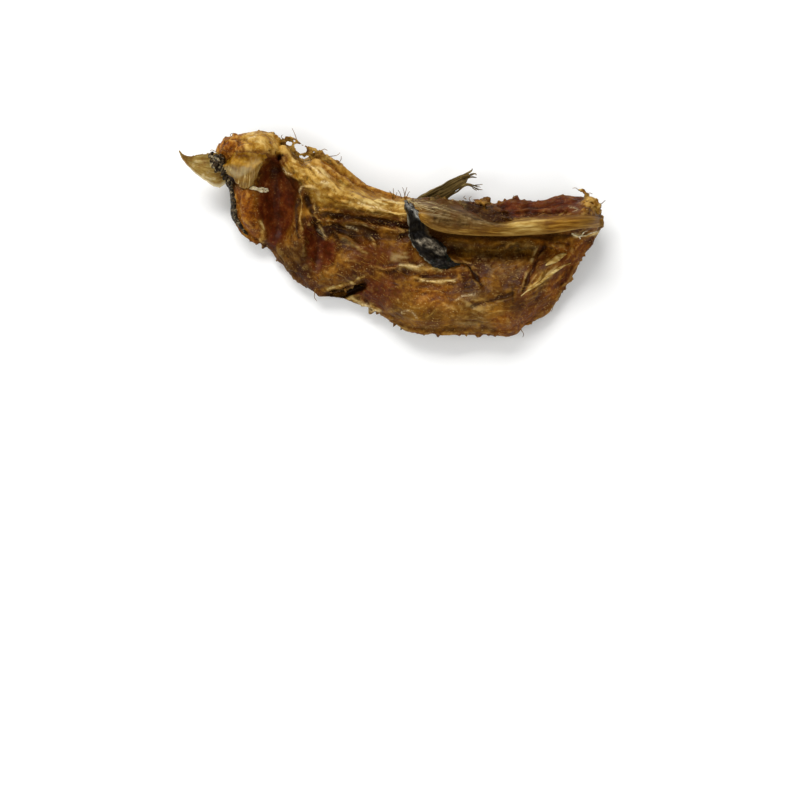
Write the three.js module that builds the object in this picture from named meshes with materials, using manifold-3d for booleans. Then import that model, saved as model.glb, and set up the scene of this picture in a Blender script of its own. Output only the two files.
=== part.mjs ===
// A dried fish collar: the bony shoulder cut from behind a fish's head, dried hard.
// It lies on its skin with the inner face up. Millimetres, +Z up. X runs from the head
// end (-X) to the tail end (+X), Y from the belly edge (-Y) to the fin edge (+Y).
// The origin is under the middle of the whole piece, on the surface that it lies on.

import * as THREE from 'three';
import { mergeVertices } from 'three/addons/utils/BufferGeometryUtils.js';
import Module from 'manifold-3d';

const wasm = await Module();
wasm.setup();

// Driving dimensions, in millimetres.

const COLLAR_LENGTH = 186;        // the flesh, head end to tail end
const COLLAR_BREADTH = 97;        // the flesh, belly edge to the crown of the head lumps
const FLESH_DEPTH = 13;           // thickness of the plain flesh between its rims
const RIM_THICKNESS = 2.4;        // dried rim all round the flesh
const RIM_ROUNDING = 5.5;         // how far in from the rim the flesh reaches its full depth
const SKIN_RISE = 15;             // how far the skin curls up away from the flat that it lies on
const SKIN_REACH = 30;            // how far out that curl takes to rise
const REST_HALF_WIDTH = 12;       // half the breadth of the flat strip that it lies on

const BONE_THICKNESS = 3.4;       // crest of the collar bone
const BONE_RIM = 1.2;             // its lips
const FILM_THICKNESS = 1.1;       // black lining of the belly, a curled flap
const MEMBRANE_THICKNESS = 1.2;   // ribbed fan over the head end
const PLATE_LENGTH = 24;          // thin gill plate that sticks out of the head end
const PLATE_BREADTH = 18;
const PLATE_THICKNESS = 1.6;
const FIN_LENGTH = 40;            // from its root under the skin to its frayed tips
const FIN_BREADTH = 11;           // at its root
const FIN_THICKNESS = 1.4;
const SKIN_FOLD_THICKNESS = 4.2;  // scaly knob of rolled skin at the head end
const SLIVER_LENGTH = 28;         // loose bone slivers on the tail end's lower face
const SLIVER_BREADTH = 3.4;
const SLIVER_THICKNESS = 2.2;
const SHORT_SLIVER_LENGTH = 11;
const FRILL_THICKNESS = 1.2;      // torn lace of skin that arches off the head end
const FRILL_RISE = 7;             // its height above the skin's curl

const CLEARANCE = 0.35;           // between pieces that dried onto each other

// Points on the collar are shares of its length and breadth, in percent, from the head
// end and from the belly edge.

function at([along, across]) {
  const x = (along / 100 - 0.5) * COLLAR_LENGTH;
  const y = (across / 100 - 0.5) * COLLAR_BREADTH;
  return new THREE.Vector3(x, y, 0);
}

function smoothLine(points) {
  return new THREE.CatmullRomCurve3(points.map(at), false, 'centripetal');
}

// The fin edge runs over the head lumps, down the bay, then along the back of the bone.

const finEdge = smoothLine([
  [2, 84], [1, 91], [3, 95.5], [6.5, 98.3], [14.5, 99.5], [17.5, 95], [20.5, 90.5], [23, 86.5],
  [26.5, 90.5], [30, 86.5], [34, 79.5], [38, 74], [46, 69], [52, 67.5], [60, 67], [66, 65.5],
  [71, 64], [76, 67], [82, 65.5], [87, 67.5], [93, 68.5], [97.5, 66], [99.7, 55],
]);

// The belly edge sweeps in one long bow from the head end to the tail end.

const bellyEdge = smoothLine([
  [2, 84], [4.5, 75], [5, 66], [5.5, 56], [8, 50], [10.5, 45.5], [13, 44.5], [15.5, 39.5],
  [18.5, 34], [22, 25.5], [25, 22.5], [27.5, 18.5], [30, 19.5], [35, 18], [40, 13.5], [45, 7.5],
  [51, 2], [60, 0.5], [70, 0], [77.5, 0.5], [80, 5.5], [85, 10], [87.5, 17], [90.5, 26],
  [94, 37], [97.5, 48], [99.7, 55],
]);

const EDGE_STEPS = 90;
const rimLine = [
  ...finEdge.getSpacedPoints(EDGE_STEPS),
  ...bellyEdge.getSpacedPoints(EDGE_STEPS).reverse(),
];

// The flat strip that it lies on follows the middle of the bow.

const restLine = [[24, 52], [37, 44], [55, 34], [77, 31]].map(at);

function distanceToLine(x, y, line) {
  let nearest = Infinity;
  for (let i = 1; i < line.length; i++) {
    const a = line[i - 1];
    const b = line[i];
    const dx = b.x - a.x;
    const dy = b.y - a.y;
    const along = ((x - a.x) * dx + (y - a.y) * dy) / Math.max(dx * dx + dy * dy, 1e-9);
    const share = THREE.MathUtils.clamp(along, 0, 1);
    nearest = Math.min(nearest, Math.hypot(x - a.x - share * dx, y - a.y - share * dy));
  }
  return nearest;
}

// Lumps, ridges and hollows of the inner face: each follows a short line, fades over its
// width and adds its height, which is negative for a hollow.

const relief = [
  { name: 'forehead lump', line: [[4, 92], [10, 93], [15, 95]], width: 7, height: 9 },
  { name: 'golden ridges', line: [[17, 91], [21, 83], [26, 75]], width: 5, height: 7 },
  { name: 'neck band', line: [[27, 84], [31, 77], [36, 70]], width: 7, height: 6 },
  { name: 'cheek lobe', line: [[8.5, 66], [9.5, 52]], width: 5, height: 4 },
  { name: 'head hollow', line: [[15.5, 80], [15.5, 62], [16.5, 52]], width: 6.5, height: -8 },
  { name: 'crease', line: [[22.5, 72], [22.5, 58], [23, 42]], width: 3.5, height: 4 },
  { name: 'second hollow', line: [[27, 48], [27, 38]], width: 6, height: -6 },
  { name: 'overhanging shelf', line: [[29, 68], [38, 65], [48, 61]], width: 7, height: 8 },
  { name: 'under the shelf', line: [[30, 55], [38, 54], [48, 50]], width: 4, height: -3 },
  { name: 'shoulder', line: [[34, 36], [46, 38]], width: 10, height: 4 },
  { name: 'bone ridge', line: [[54, 60], [66, 56], [80, 54.5], [97, 56]], width: 7.5, height: 11 },
  { name: 'dark trough', line: [[58, 44], [70, 44], [82, 44], [91, 46]], width: 6, height: -8 },
  { name: 'lower swell', line: [[48, 15], [62, 14], [76, 15]], width: 13, height: 6 },
  { name: 'tail swell', line: [[80, 20], [87, 35]], width: 6, height: 4 },
  { name: 'slit', line: [[31, 21.5], [37, 25]], width: 3.5, height: -5 },
].map((shape) => ({ ...shape, line: shape.line.map(at) }));

function fleshDepth(x, y) {
  let depth = FLESH_DEPTH;
  for (const { line, width, height } of relief) {
    depth += height * Math.exp(-((distanceToLine(x, y, line) / width) ** 2));
  }
  return Math.max(depth, RIM_THICKNESS);
}

// The skin side: flat on the strip that it lies on, then curling up like a shallow boat.

function skinHeight(x, y) {
  const beyond = Math.max(0, distanceToLine(x, y, restLine) - REST_HALF_WIDTH);
  return SKIN_RISE * (1 - Math.exp(-((beyond / SKIN_REACH) ** 1.6)));
}

function fleshHeight(x, y, inFromRim = distanceToLine(x, y, rimLine)) {
  const fullness = 1 - Math.exp(-((inFromRim / RIM_ROUNDING) ** 1.3));
  return skinHeight(x, y) + RIM_THICKNESS + fullness * fleshDepth(x, y);
}

// Solids. A slab is a closed solid on a grid: pointOn gives its upper side (side 1) and
// its under side (side 0), and walls close it all round.

function closedSolid(positions, triangles) {
  const loose = new THREE.BufferGeometry();
  loose.setAttribute('position', new THREE.Float32BufferAttribute(positions, 3));
  loose.setIndex(triangles);
  const merged = mergeVertices(loose, 1e-3);
  const index = merged.getIndex().array;
  const faces = [];
  for (let i = 0; i < index.length; i += 3) {
    const [a, b, c] = index.slice(i, i + 3);
    if (a !== b && b !== c && c !== a) faces.push(a, b, c);
  }
  return new wasm.Manifold(new wasm.Mesh({
    numProp: 3,
    vertProperties: new Float32Array(merged.getAttribute('position').array),
    triVerts: new Uint32Array(faces),
  }));
}

function slab(columns, rows, pointOn) {
  const corner = (i, j, side) => (side * (columns + 1) + i) * (rows + 1) + j;
  const positions = [];
  for (let side = 0; side < 2; side++) {
    for (let i = 0; i <= columns; i++) {
      for (let j = 0; j <= rows; j++) positions.push(...pointOn(i / columns, j / rows, side));
    }
  }
  const triangles = [];
  const face = (a, b, c, d) => triangles.push(a, b, c, a, c, d);
  for (let i = 0; i < columns; i++) {
    for (let j = 0; j < rows; j++) {
      face(corner(i, j, 1), corner(i + 1, j, 1), corner(i + 1, j + 1, 1), corner(i, j + 1, 1));
      face(corner(i, j, 0), corner(i, j + 1, 0), corner(i + 1, j + 1, 0), corner(i + 1, j, 0));
    }
    face(corner(i, 0, 0), corner(i + 1, 0, 0), corner(i + 1, 0, 1), corner(i, 0, 1));
    face(corner(i + 1, rows, 0), corner(i, rows, 0), corner(i, rows, 1), corner(i + 1, rows, 1));
  }
  const end = columns;
  for (let j = 0; j < rows; j++) {
    face(corner(0, j + 1, 0), corner(0, j, 0), corner(0, j, 1), corner(0, j + 1, 1));
    face(corner(end, j, 0), corner(end, j + 1, 0), corner(end, j + 1, 1), corner(end, j, 1));
  }
  return closedSolid(positions, triangles);
}

// A patch lies on the inner face between two edge lines. Where bridge is above zero it
// keeps nearer the height of its own middle line, so it spans hollows and overhangs them.
// bedAt is the height that it lies on.

function patch({ left, right, columns, rows, bridge, lift, thickness, bedAt = fleshHeight }) {
  const leftLine = smoothLine(left);
  const rightLine = smoothLine(right);
  return slab(columns, rows, (u, v, side) => {
    const a = leftLine.getPoint(u);
    const b = rightLine.getPoint(u);
    const p = a.clone().lerp(b, v);
    const middle = a.lerp(b, 0.5);
    const bed = THREE.MathUtils.lerp(bedAt(p.x, p.y), bedAt(middle.x, middle.y), bridge);
    return [p.x, p.y, bed + lift + side * thickness(u, v)];
  });
}

// A blade runs straight out from a root: breadthAt gives how far it spreads to each side
// of its middle line, and heightAt the height of its under side.

function blade({ root, bearing, length, columns, rows, breadthAt, heightAt, thickness }) {
  const start = at(root);
  const ahead = new THREE.Vector3(1, 0, 0).applyAxisAngle(new THREE.Vector3(0, 0, 1), bearing);
  const aside = new THREE.Vector3(-ahead.y, ahead.x, 0);
  return slab(columns, rows, (u, v, side) => {
    const p = start.clone().addScaledVector(ahead, u * length);
    p.addScaledVector(aside, (0.5 - v) * -breadthAt(u, v));
    return [p.x, p.y, heightAt(p.x, p.y, u) + side * thickness(u, v)];
  });
}

function crown(v) {
  return Math.sqrt(Math.max(0, 1 - (2 * v - 1) ** 2));
}

// Cuts a piece back to a clearance above (or below) each neighbour that it lies on, and
// keeps its main body.

function layOn(piece, neighbours, direction) {
  const step = [0, 0, direction * CLEARANCE];
  let trimmed = piece;
  for (const neighbour of neighbours) {
    trimmed = trimmed.subtract(neighbour).subtract(neighbour.translate(step));
  }
  return trimmed.decompose().reduce((a, b) => (b.volume() > a.volume() ? b : a));
}

const ABOVE = 1;
const BELOW = -1;

// Sub-parts

function driedFlesh() {
  return slab(66, 22, (u, v, side) => {
    const outer = finEdge.getPointAt(u);
    const inner = bellyEdge.getPointAt(u);
    const p = inner.lerp(outer, v);
    const onRim = v === 0 || v === 1 || u === 0 || u === 1;
    const height = side ? fleshHeight(p.x, p.y, onRim ? 0 : undefined) : skinHeight(p.x, p.y);
    return [p.x, p.y, height];
  });
}

function collarBone() {
  return patch({
    left: [[53, 56], [56, 52.5], [60, 51], [67, 49.5], [76, 49.2], [85, 49.5], [92, 50.5], [98, 54]],
    right: [[53.5, 64], [59, 65], [65, 61.5], [70, 58], [76, 57.5], [85, 57.5], [92, 58], [98.3, 59]],
    columns: 26,
    rows: 6,
    bridge: 0.6,
    lift: 0.8,
    thickness: (u, v) => BONE_RIM + (BONE_THICKNESS - BONE_RIM) * crown(v) * crown(0.5 + 0.45 * (u - 0.5)),
  });
}

function bellyFilm() {
  return patch({
    left: [[48, 65.5], [49.5, 60], [50, 52], [51.5, 45], [53.5, 40], [56, 35]],
    right: [[50.5, 65.5], [53, 60], [55, 53.5], [57.5, 46.5], [59, 41], [61, 35.5]],
    columns: 14,
    rows: 5,
    bridge: 0.5,
    lift: 1,
    thickness: () => FILM_THICKNESS,
  });
}

function fanMembrane() {
  return patch({
    left: [[4, 87], [4.5, 80], [6, 74]],
    right: [[12.5, 88], [13.3, 83], [10.3, 73]],
    columns: 9,
    rows: 8,
    bridge: 0.3,
    lift: 1,
    thickness: () => MEMBRANE_THICKNESS,
  });
}

function gillPlate() {
  const breadthAt = (u) => PLATE_BREADTH * (1 - 0.93 * u ** 0.8);
  return blade({
    root: [3.5, 81],
    bearing: THREE.MathUtils.degToRad(159),
    length: PLATE_LENGTH,
    columns: 10,
    rows: 6,
    breadthAt,
    heightAt: (x, y) => skinHeight(x, y) + RIM_THICKNESS + CLEARANCE,
    thickness: (u, v) => PLATE_THICKNESS * (0.5 + 0.5 * crown(v)),
  });
}

function pectoralFin() {
  return blade({
    root: [50, 58],
    bearing: THREE.MathUtils.degToRad(29),
    length: FIN_LENGTH,
    columns: 14,
    rows: 5,
    breadthAt: (u) => FIN_BREADTH * (1 - 0.45 * u),
    heightAt: (x, y, u) => Math.max(0.4, skinHeight(x, y) - CLEARANCE - FIN_THICKNESS - 0.6) + 3 * u ** 3,
    thickness: (u, v) => FIN_THICKNESS * (0.45 + 0.55 * crown(v)),
  });
}

function scalySkinFold() {
  return patch({
    left: [[-0.5, 88], [0.3, 82.5], [4.2, 75]],
    right: [[2.8, 89.5], [3.5, 83.5], [5.6, 76]],
    columns: 7,
    rows: 4,
    bridge: 0.4,
    lift: 0.8 + PLATE_THICKNESS,
    thickness: (u, v) => 0.8 + (SKIN_FOLD_THICKNESS - 0.8) * crown(v) * crown(0.15 + 0.7 * u),
  });
}

function tornFrill() {
  return patch({
    left: [[16.8, 94.5], [19.5, 95.5], [21.8, 94], [24, 90.5], [26, 89.3]],
    right: [[17.3, 97], [19.5, 97.8], [22.3, 96], [24.8, 92.5], [27, 92]],
    columns: 14,
    rows: 3,
    bridge: 0.5,
    lift: 0,
    thickness: (u, v) => FRILL_THICKNESS * (0.5 + 0.5 * crown(v)),
    bedAt: (x, y) => skinHeight(x, y) + FRILL_RISE,
  });
}

function boneSliver(root, length) {
  return blade({
    root,
    bearing: THREE.MathUtils.degToRad(34),
    length,
    columns: 8,
    rows: 3,
    breadthAt: (u) => SLIVER_BREADTH * (0.35 + 0.65 * crown(0.1 + 0.8 * u)),
    heightAt: (x, y) => fleshHeight(x, y) + 0.8,
    thickness: (u, v) => SLIVER_THICKNESS * (0.45 + 0.55 * crown(v)),
  });
}

// Assembly

const FLESH_COLOUR = 0x8f5a1c;
const BONE_COLOUR = 0xcdb878;
const IVORY_COLOUR = 0xb49b5c;
const FIN_COLOUR = 0x5a4c30;
const FILM_COLOUR = 0x2b2a22;
const MEMBRANE_COLOUR = 0xc9a870;
const SKIN_COLOUR = 0x34342e;
const FRILL_COLOUR = 0x7a4a18;

const group = new THREE.Group();

function addPiece(name, solid, color, roughness) {
  const { vertProperties, triVerts } = solid.getMesh();
  const geometry = new THREE.BufferGeometry();
  geometry.setAttribute('position', new THREE.BufferAttribute(vertProperties, 3));
  geometry.setIndex(new THREE.BufferAttribute(triVerts, 1));
  const finish = new THREE.MeshStandardMaterial({ color, roughness, metalness: 0 });
  const mesh = new THREE.Mesh(geometry, finish);
  mesh.name = name;
  group.add(mesh);
}

const flesh = driedFlesh();
const plate = layOn(gillPlate(), [flesh], ABOVE);
const fin = layOn(pectoralFin(), [flesh], BELOW);
const bone = layOn(collarBone(), [flesh], ABOVE);
const film = layOn(bellyFilm(), [flesh, bone], ABOVE);
const membrane = layOn(fanMembrane(), [flesh], ABOVE);
const skinFold = layOn(scalySkinFold(), [flesh, plate, membrane], ABOVE);
const frill = layOn(tornFrill(), [flesh], ABOVE);
const sliver = layOn(boneSliver([78.8, 20.5], SLIVER_LENGTH), [flesh], ABOVE);
const shortSliver = layOn(boneSliver([85.2, 35.5], SHORT_SLIVER_LENGTH), [flesh], ABOVE);

addPiece('dried_flesh', flesh, FLESH_COLOUR, 0.4);
addPiece('gill_plate', plate, IVORY_COLOUR, 0.45);
addPiece('pectoral_fin', fin, FIN_COLOUR, 0.6);
addPiece('collar_bone', bone, BONE_COLOUR, 0.5);
addPiece('belly_film', film, FILM_COLOUR, 0.3);
addPiece('fan_membrane', membrane, MEMBRANE_COLOUR, 0.4);
addPiece('scaly_skin_fold', skinFold, SKIN_COLOUR, 0.5);
addPiece('torn_frill', frill, FRILL_COLOUR, 0.5);
addPiece('bone_sliver', sliver, BONE_COLOUR, 0.45);
addPiece('short_bone_sliver', shortSliver, BONE_COLOUR, 0.45);

// Moves the middle of the whole piece over the origin.

const wholeBox = new THREE.Box3().setFromObject(group);
const middle = wholeBox.getCenter(new THREE.Vector3());
for (const mesh of group.children) mesh.position.set(-middle.x, -middle.y, -wholeBox.min.z);

export default group;
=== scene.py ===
import itertools
import math

import bpy
import numpy as np
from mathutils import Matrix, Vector
from mathutils.bvhtree import BVHTree


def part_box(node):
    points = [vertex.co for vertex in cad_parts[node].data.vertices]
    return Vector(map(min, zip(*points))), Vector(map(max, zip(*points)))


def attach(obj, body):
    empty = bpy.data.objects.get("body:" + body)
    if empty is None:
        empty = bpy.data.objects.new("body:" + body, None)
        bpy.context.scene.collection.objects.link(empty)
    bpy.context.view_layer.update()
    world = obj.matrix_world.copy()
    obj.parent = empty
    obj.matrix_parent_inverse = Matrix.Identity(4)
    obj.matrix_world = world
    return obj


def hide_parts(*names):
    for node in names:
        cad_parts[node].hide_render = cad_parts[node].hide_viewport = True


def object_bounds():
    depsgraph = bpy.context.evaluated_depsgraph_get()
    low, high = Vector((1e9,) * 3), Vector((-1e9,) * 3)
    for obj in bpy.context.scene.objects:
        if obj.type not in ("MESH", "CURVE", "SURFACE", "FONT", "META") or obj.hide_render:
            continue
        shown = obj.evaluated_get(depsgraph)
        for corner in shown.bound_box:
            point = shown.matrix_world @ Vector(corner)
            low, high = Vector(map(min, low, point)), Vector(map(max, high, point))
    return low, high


# A hard-dried fish collar, lying on its skin with the inner face up. The flesh, bone, films
# and fin are sculpted round the CAD pieces: folds are laid on the flesh and fused with it,
# then wrinkles, fibres and pits are worked into the fused surface.
# Lengths in this script are millimetres until a mesh is made; a mesh is in metres.

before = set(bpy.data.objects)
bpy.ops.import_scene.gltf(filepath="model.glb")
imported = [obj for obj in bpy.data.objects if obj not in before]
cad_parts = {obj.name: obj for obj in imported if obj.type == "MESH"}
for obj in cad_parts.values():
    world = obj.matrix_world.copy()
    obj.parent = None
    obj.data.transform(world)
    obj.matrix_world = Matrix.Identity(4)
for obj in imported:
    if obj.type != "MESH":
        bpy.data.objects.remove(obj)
cad_low, cad_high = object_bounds()
MM = 0.001

# The collar's own grid: shares of its length from the head end, and of its breadth from the
# belly edge, in percent, as in the CAD source.

COLLAR_LENGTH = 186.0
COLLAR_BREADTH = 97.0
TAIL_END_SHARE = 99.7
flesh_low, flesh_high = (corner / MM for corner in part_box("dried_flesh"))

# How finely the fused pieces are drawn, and how thick the thin ones are.

FLESH_VOXEL = 0.63
SCALY_SKIN_VOXEL = 0.3
GILL_PLATE_THICKNESS = 0.7
MEMBRANE_THICKNESS = 0.5
LACE_THICKNESS = 0.9
LINING_THICKNESS = 0.5
BONE_SKIN_THICKNESS = 1.3
FIN_WEB_THICKNESS = 0.7

WELL_ABOVE = 200        # where the rays start that look down for a bed
MID_HEIGHT = 18         # where the nearest spot is sought if a ray misses


def at(points):
    """Shares of length and breadth to X and Y; a third number, if any, is kept."""
    grid = np.array(points, float)
    spot = grid.copy()
    spot[:, 0] = flesh_high.x - (TAIL_END_SHARE - grid[:, 0]) / 100 * COLLAR_LENGTH
    spot[:, 1] = flesh_low.y + grid[:, 1] / 100 * COLLAR_BREADTH
    return spot


# Noise, lines and distances

def lattice(cell, seed):
    x, y, z = cell.T
    n = (x * 374761393 + y * 668265263 + z * 974634777 + seed * 144665) & 0xFFFFFFFF
    n = ((n ^ (n >> 13)) * 1274126177) & 0xFFFFFFFF
    return ((n ^ (n >> 16)) & 0xFFFF) / 32767.5 - 1.0


def noise(points, size, seed=0):
    """Smooth value noise from -1 to 1; size is one number or one for each axis."""
    scaled = points / np.array(size, float)
    cell = np.floor(scaled).astype(np.int64)
    part = scaled - cell
    part = part * part * (3 - 2 * part)
    total = np.zeros(len(points))
    for corner in itertools.product((0, 1), repeat=3):
        share = np.prod(np.where(np.array(corner) == 1, part, 1 - part), axis=1)
        total += share * lattice(cell + np.array(corner), seed)
    return total


def layered(points, size, seed=0, layers=3, fade=0.5):
    size = np.array(size, float)
    return sum(noise(points, size / 2**i, seed + 17 * i) * fade**i for i in range(layers))


def two_layered(points, size, seed):
    return layered(points, size, seed, 2)


def drift(points, size, *seeds, kind=noise):
    """A smooth shift for each point: one column of noise for each seed."""
    return np.column_stack([kind(points, size, seed) for seed in seeds])


def unit(vectors):
    return vectors / np.maximum(np.linalg.norm(vectors, axis=-1, keepdims=True), 1e-9)


def smooth_line(points, steps):
    """A Catmull-Rom line through points, as steps + 1 samples."""
    p = np.array(points, float)
    p = np.vstack([2 * p[0] - p[1], p, 2 * p[-1] - p[-2]])
    spans = len(p) - 3
    where = np.linspace(0, spans, steps + 1)
    i = np.minimum(where.astype(int), spans - 1)
    t = (where - i)[:, None]
    a, b, c, d = p[i], p[i + 1], p[i + 2], p[i + 3]
    return 0.5 * (2 * b + (c - a) * t + (2 * a - 5 * b + 4 * c - d) * t**2
                  + (3 * b - a - 3 * c + d) * t**3)


def line_distance(xy, line):
    best = np.full(len(xy), 1e9)
    for a, b in zip(line[:-1], line[1:]):
        span = b - a
        share = np.clip((xy - a) @ span / max(span @ span, 1e-9), 0, 1)
        best = np.minimum(best, np.linalg.norm(xy - a - share[:, None] * span, axis=1))
    return best


def outline_distance(xy, corners):
    """Distance to a closed outline, positive inside it."""
    ring = np.vstack([corners, corners[:1]])
    inside = np.zeros(len(xy), bool)
    for a, b in zip(ring[:-1], ring[1:]):
        crosses = (a[1] > xy[:, 1]) != (b[1] > xy[:, 1])
        rise = b[1] - a[1] if abs(b[1] - a[1]) > 1e-9 else 1e-9
        inside ^= crosses & (xy[:, 0] < (b[0] - a[0]) * (xy[:, 1] - a[1]) / rise + a[0])
    return np.where(inside, 1, -1) * line_distance(xy, ring)


def ease(value, low, high):
    share = np.clip((value - low) / (high - low), 0, 1)
    return share * share * (3 - 2 * share)


# Meshes

def make_mesh(name, points, faces):
    mesh = bpy.data.meshes.new(name)
    mesh.from_pydata((np.array(points) * MM).tolist(), [], [tuple(f) for f in faces])
    mesh.update()
    return mesh


def make_piece(name, mesh):
    piece = bpy.data.objects.new(name, mesh)
    bpy.context.scene.collection.objects.link(piece)
    mesh.polygons.foreach_set("use_smooth", np.ones(len(mesh.polygons), bool))
    return piece


def mesh_points(mesh):
    co = np.empty(len(mesh.vertices) * 3)
    mesh.vertices.foreach_get("co", co)
    return co.reshape(-1, 3) / MM


def mesh_normals(mesh):
    normals = np.empty(len(mesh.vertices) * 3)
    mesh.vertex_normals.foreach_get("vector", normals)
    return normals.reshape(-1, 3)


def set_points(mesh, points):
    mesh.vertices.foreach_set("co", (points * MM).ravel())
    mesh.update()


def mesh_edges(mesh):
    ends = np.empty(len(mesh.edges) * 2, int)
    mesh.edges.foreach_get("vertices", ends)
    return ends.reshape(-1, 2)


def softened(heights, rounds):
    """A grid of heights, each averaged with the four beside it rounds times."""
    for _ in range(rounds):
        padded = np.pad(heights, 1, mode="edge")
        heights = (padded[1:-1, 1:-1] * 2 + padded[:-2, 1:-1] + padded[2:, 1:-1]
                   + padded[1:-1, :-2] + padded[1:-1, 2:]) / 6
    return heights


def averaged(values, edges, rounds):
    """Each vertex's value, averaged with its neighbours' rounds times."""
    a, b = edges.T
    count = np.bincount(a, minlength=len(values)) + np.bincount(b, minlength=len(values))
    result = values.astype(float)
    for _ in range(rounds):
        total = np.zeros_like(result)
        np.add.at(total, a, result[b])
        np.add.at(total, b, result[a])
        share = count if result.ndim == 1 else count[:, None]
        result = 0.5 * result + 0.5 * total / share
    return result


def store(mesh, name, values):
    layer = mesh.attributes.new(name, "FLOAT", "POINT")
    layer.data.foreach_set("value", np.clip(values, 0, 1).astype(np.float32))


def tube(line, radii, sides=10, flat=1.0):
    """Points and faces of a closed tube along a line; flat squashes it in Z."""
    ahead = unit(np.gradient(line, axis=0))
    aside = unit(np.cross(ahead, [0, 0, 1.0]))
    up = np.cross(aside, ahead)
    turn = np.linspace(0, 2 * math.pi, sides, endpoint=False)[None, :, None]
    ring = np.cos(turn) * aside[:, None, :] + np.sin(turn) * up[:, None, :] * flat
    points = (line[:, None, :] + ring * np.asarray(radii)[:, None, None]).reshape(-1, 3)
    points = np.vstack([points, line[:1], line[-1:]])
    beside = [(j, (j + 1) % sides) for j in range(sides)]
    last = (len(line) - 1) * sides
    cap = last + sides
    faces = [(i + j, i + k, i + sides + k, i + sides + j)
             for i in range(0, last, sides) for j, k in beside]
    for j, k in beside:
        faces += [(cap, k, j), (cap + 1, last + j, last + k)]
    return points, faces


class Clay:
    """Closed shapes gathered into one piece, which can be fused into one skin."""

    def __init__(self):
        self.points, self.faces, self.count = [], [], 0

    def add(self, points, faces):
        self.points.append(np.array(points, float))
        self.faces.extend(tuple(i + self.count for i in face) for face in faces)
        self.count += len(points)

    def add_mesh(self, mesh):
        self.add(mesh_points(mesh), [tuple(p.vertices) for p in mesh.polygons])

    def as_piece(self, name):
        return make_piece(name, make_mesh(name, np.vstack(self.points), self.faces))

    def fuse(self, name, voxel, smoothing):
        piece = self.as_piece(name)
        remesh = piece.modifiers.new("fuse", "REMESH")
        remesh.mode = "VOXEL"
        remesh.voxel_size = voxel * MM
        smooth = piece.modifiers.new("smooth", "SMOOTH")
        smooth.factor = 0.5
        smooth.iterations = smoothing
        dressed = piece.evaluated_get(bpy.context.evaluated_depsgraph_get())
        mesh = bpy.data.meshes.new_from_object(dressed)
        mesh.name = name
        piece.modifiers.clear()
        piece.data = mesh
        mesh.polygons.foreach_set("use_smooth", np.ones(len(mesh.polygons), bool))
        return piece


class Bed:
    """The height of a mesh below a point, for pieces that lie on it."""

    def __init__(self, mesh):
        points = mesh_points(mesh)
        self.tree = BVHTree.FromPolygons(points.tolist(), [tuple(p.vertices) for p in mesh.polygons])

    def heights(self, xy):
        """Heights under the points; off the mesh, that of its nearest spot."""
        found = []
        for x, y in np.asarray(xy)[:, :2]:
            hit = self.tree.ray_cast(Vector((x, y, WELL_ABOVE)), Vector((0, 0, -1)))[0]
            if hit is None:
                hit = self.tree.find_nearest(Vector((x, y, MID_HEIGHT)))[0]
            found.append(hit.z)
        return np.array(found)


# Folds that are laid on the flesh: a line on the collar's grid, the fold's radius, how far
# its middle stands above the flesh, and how flat it is if it isn't round.

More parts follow.
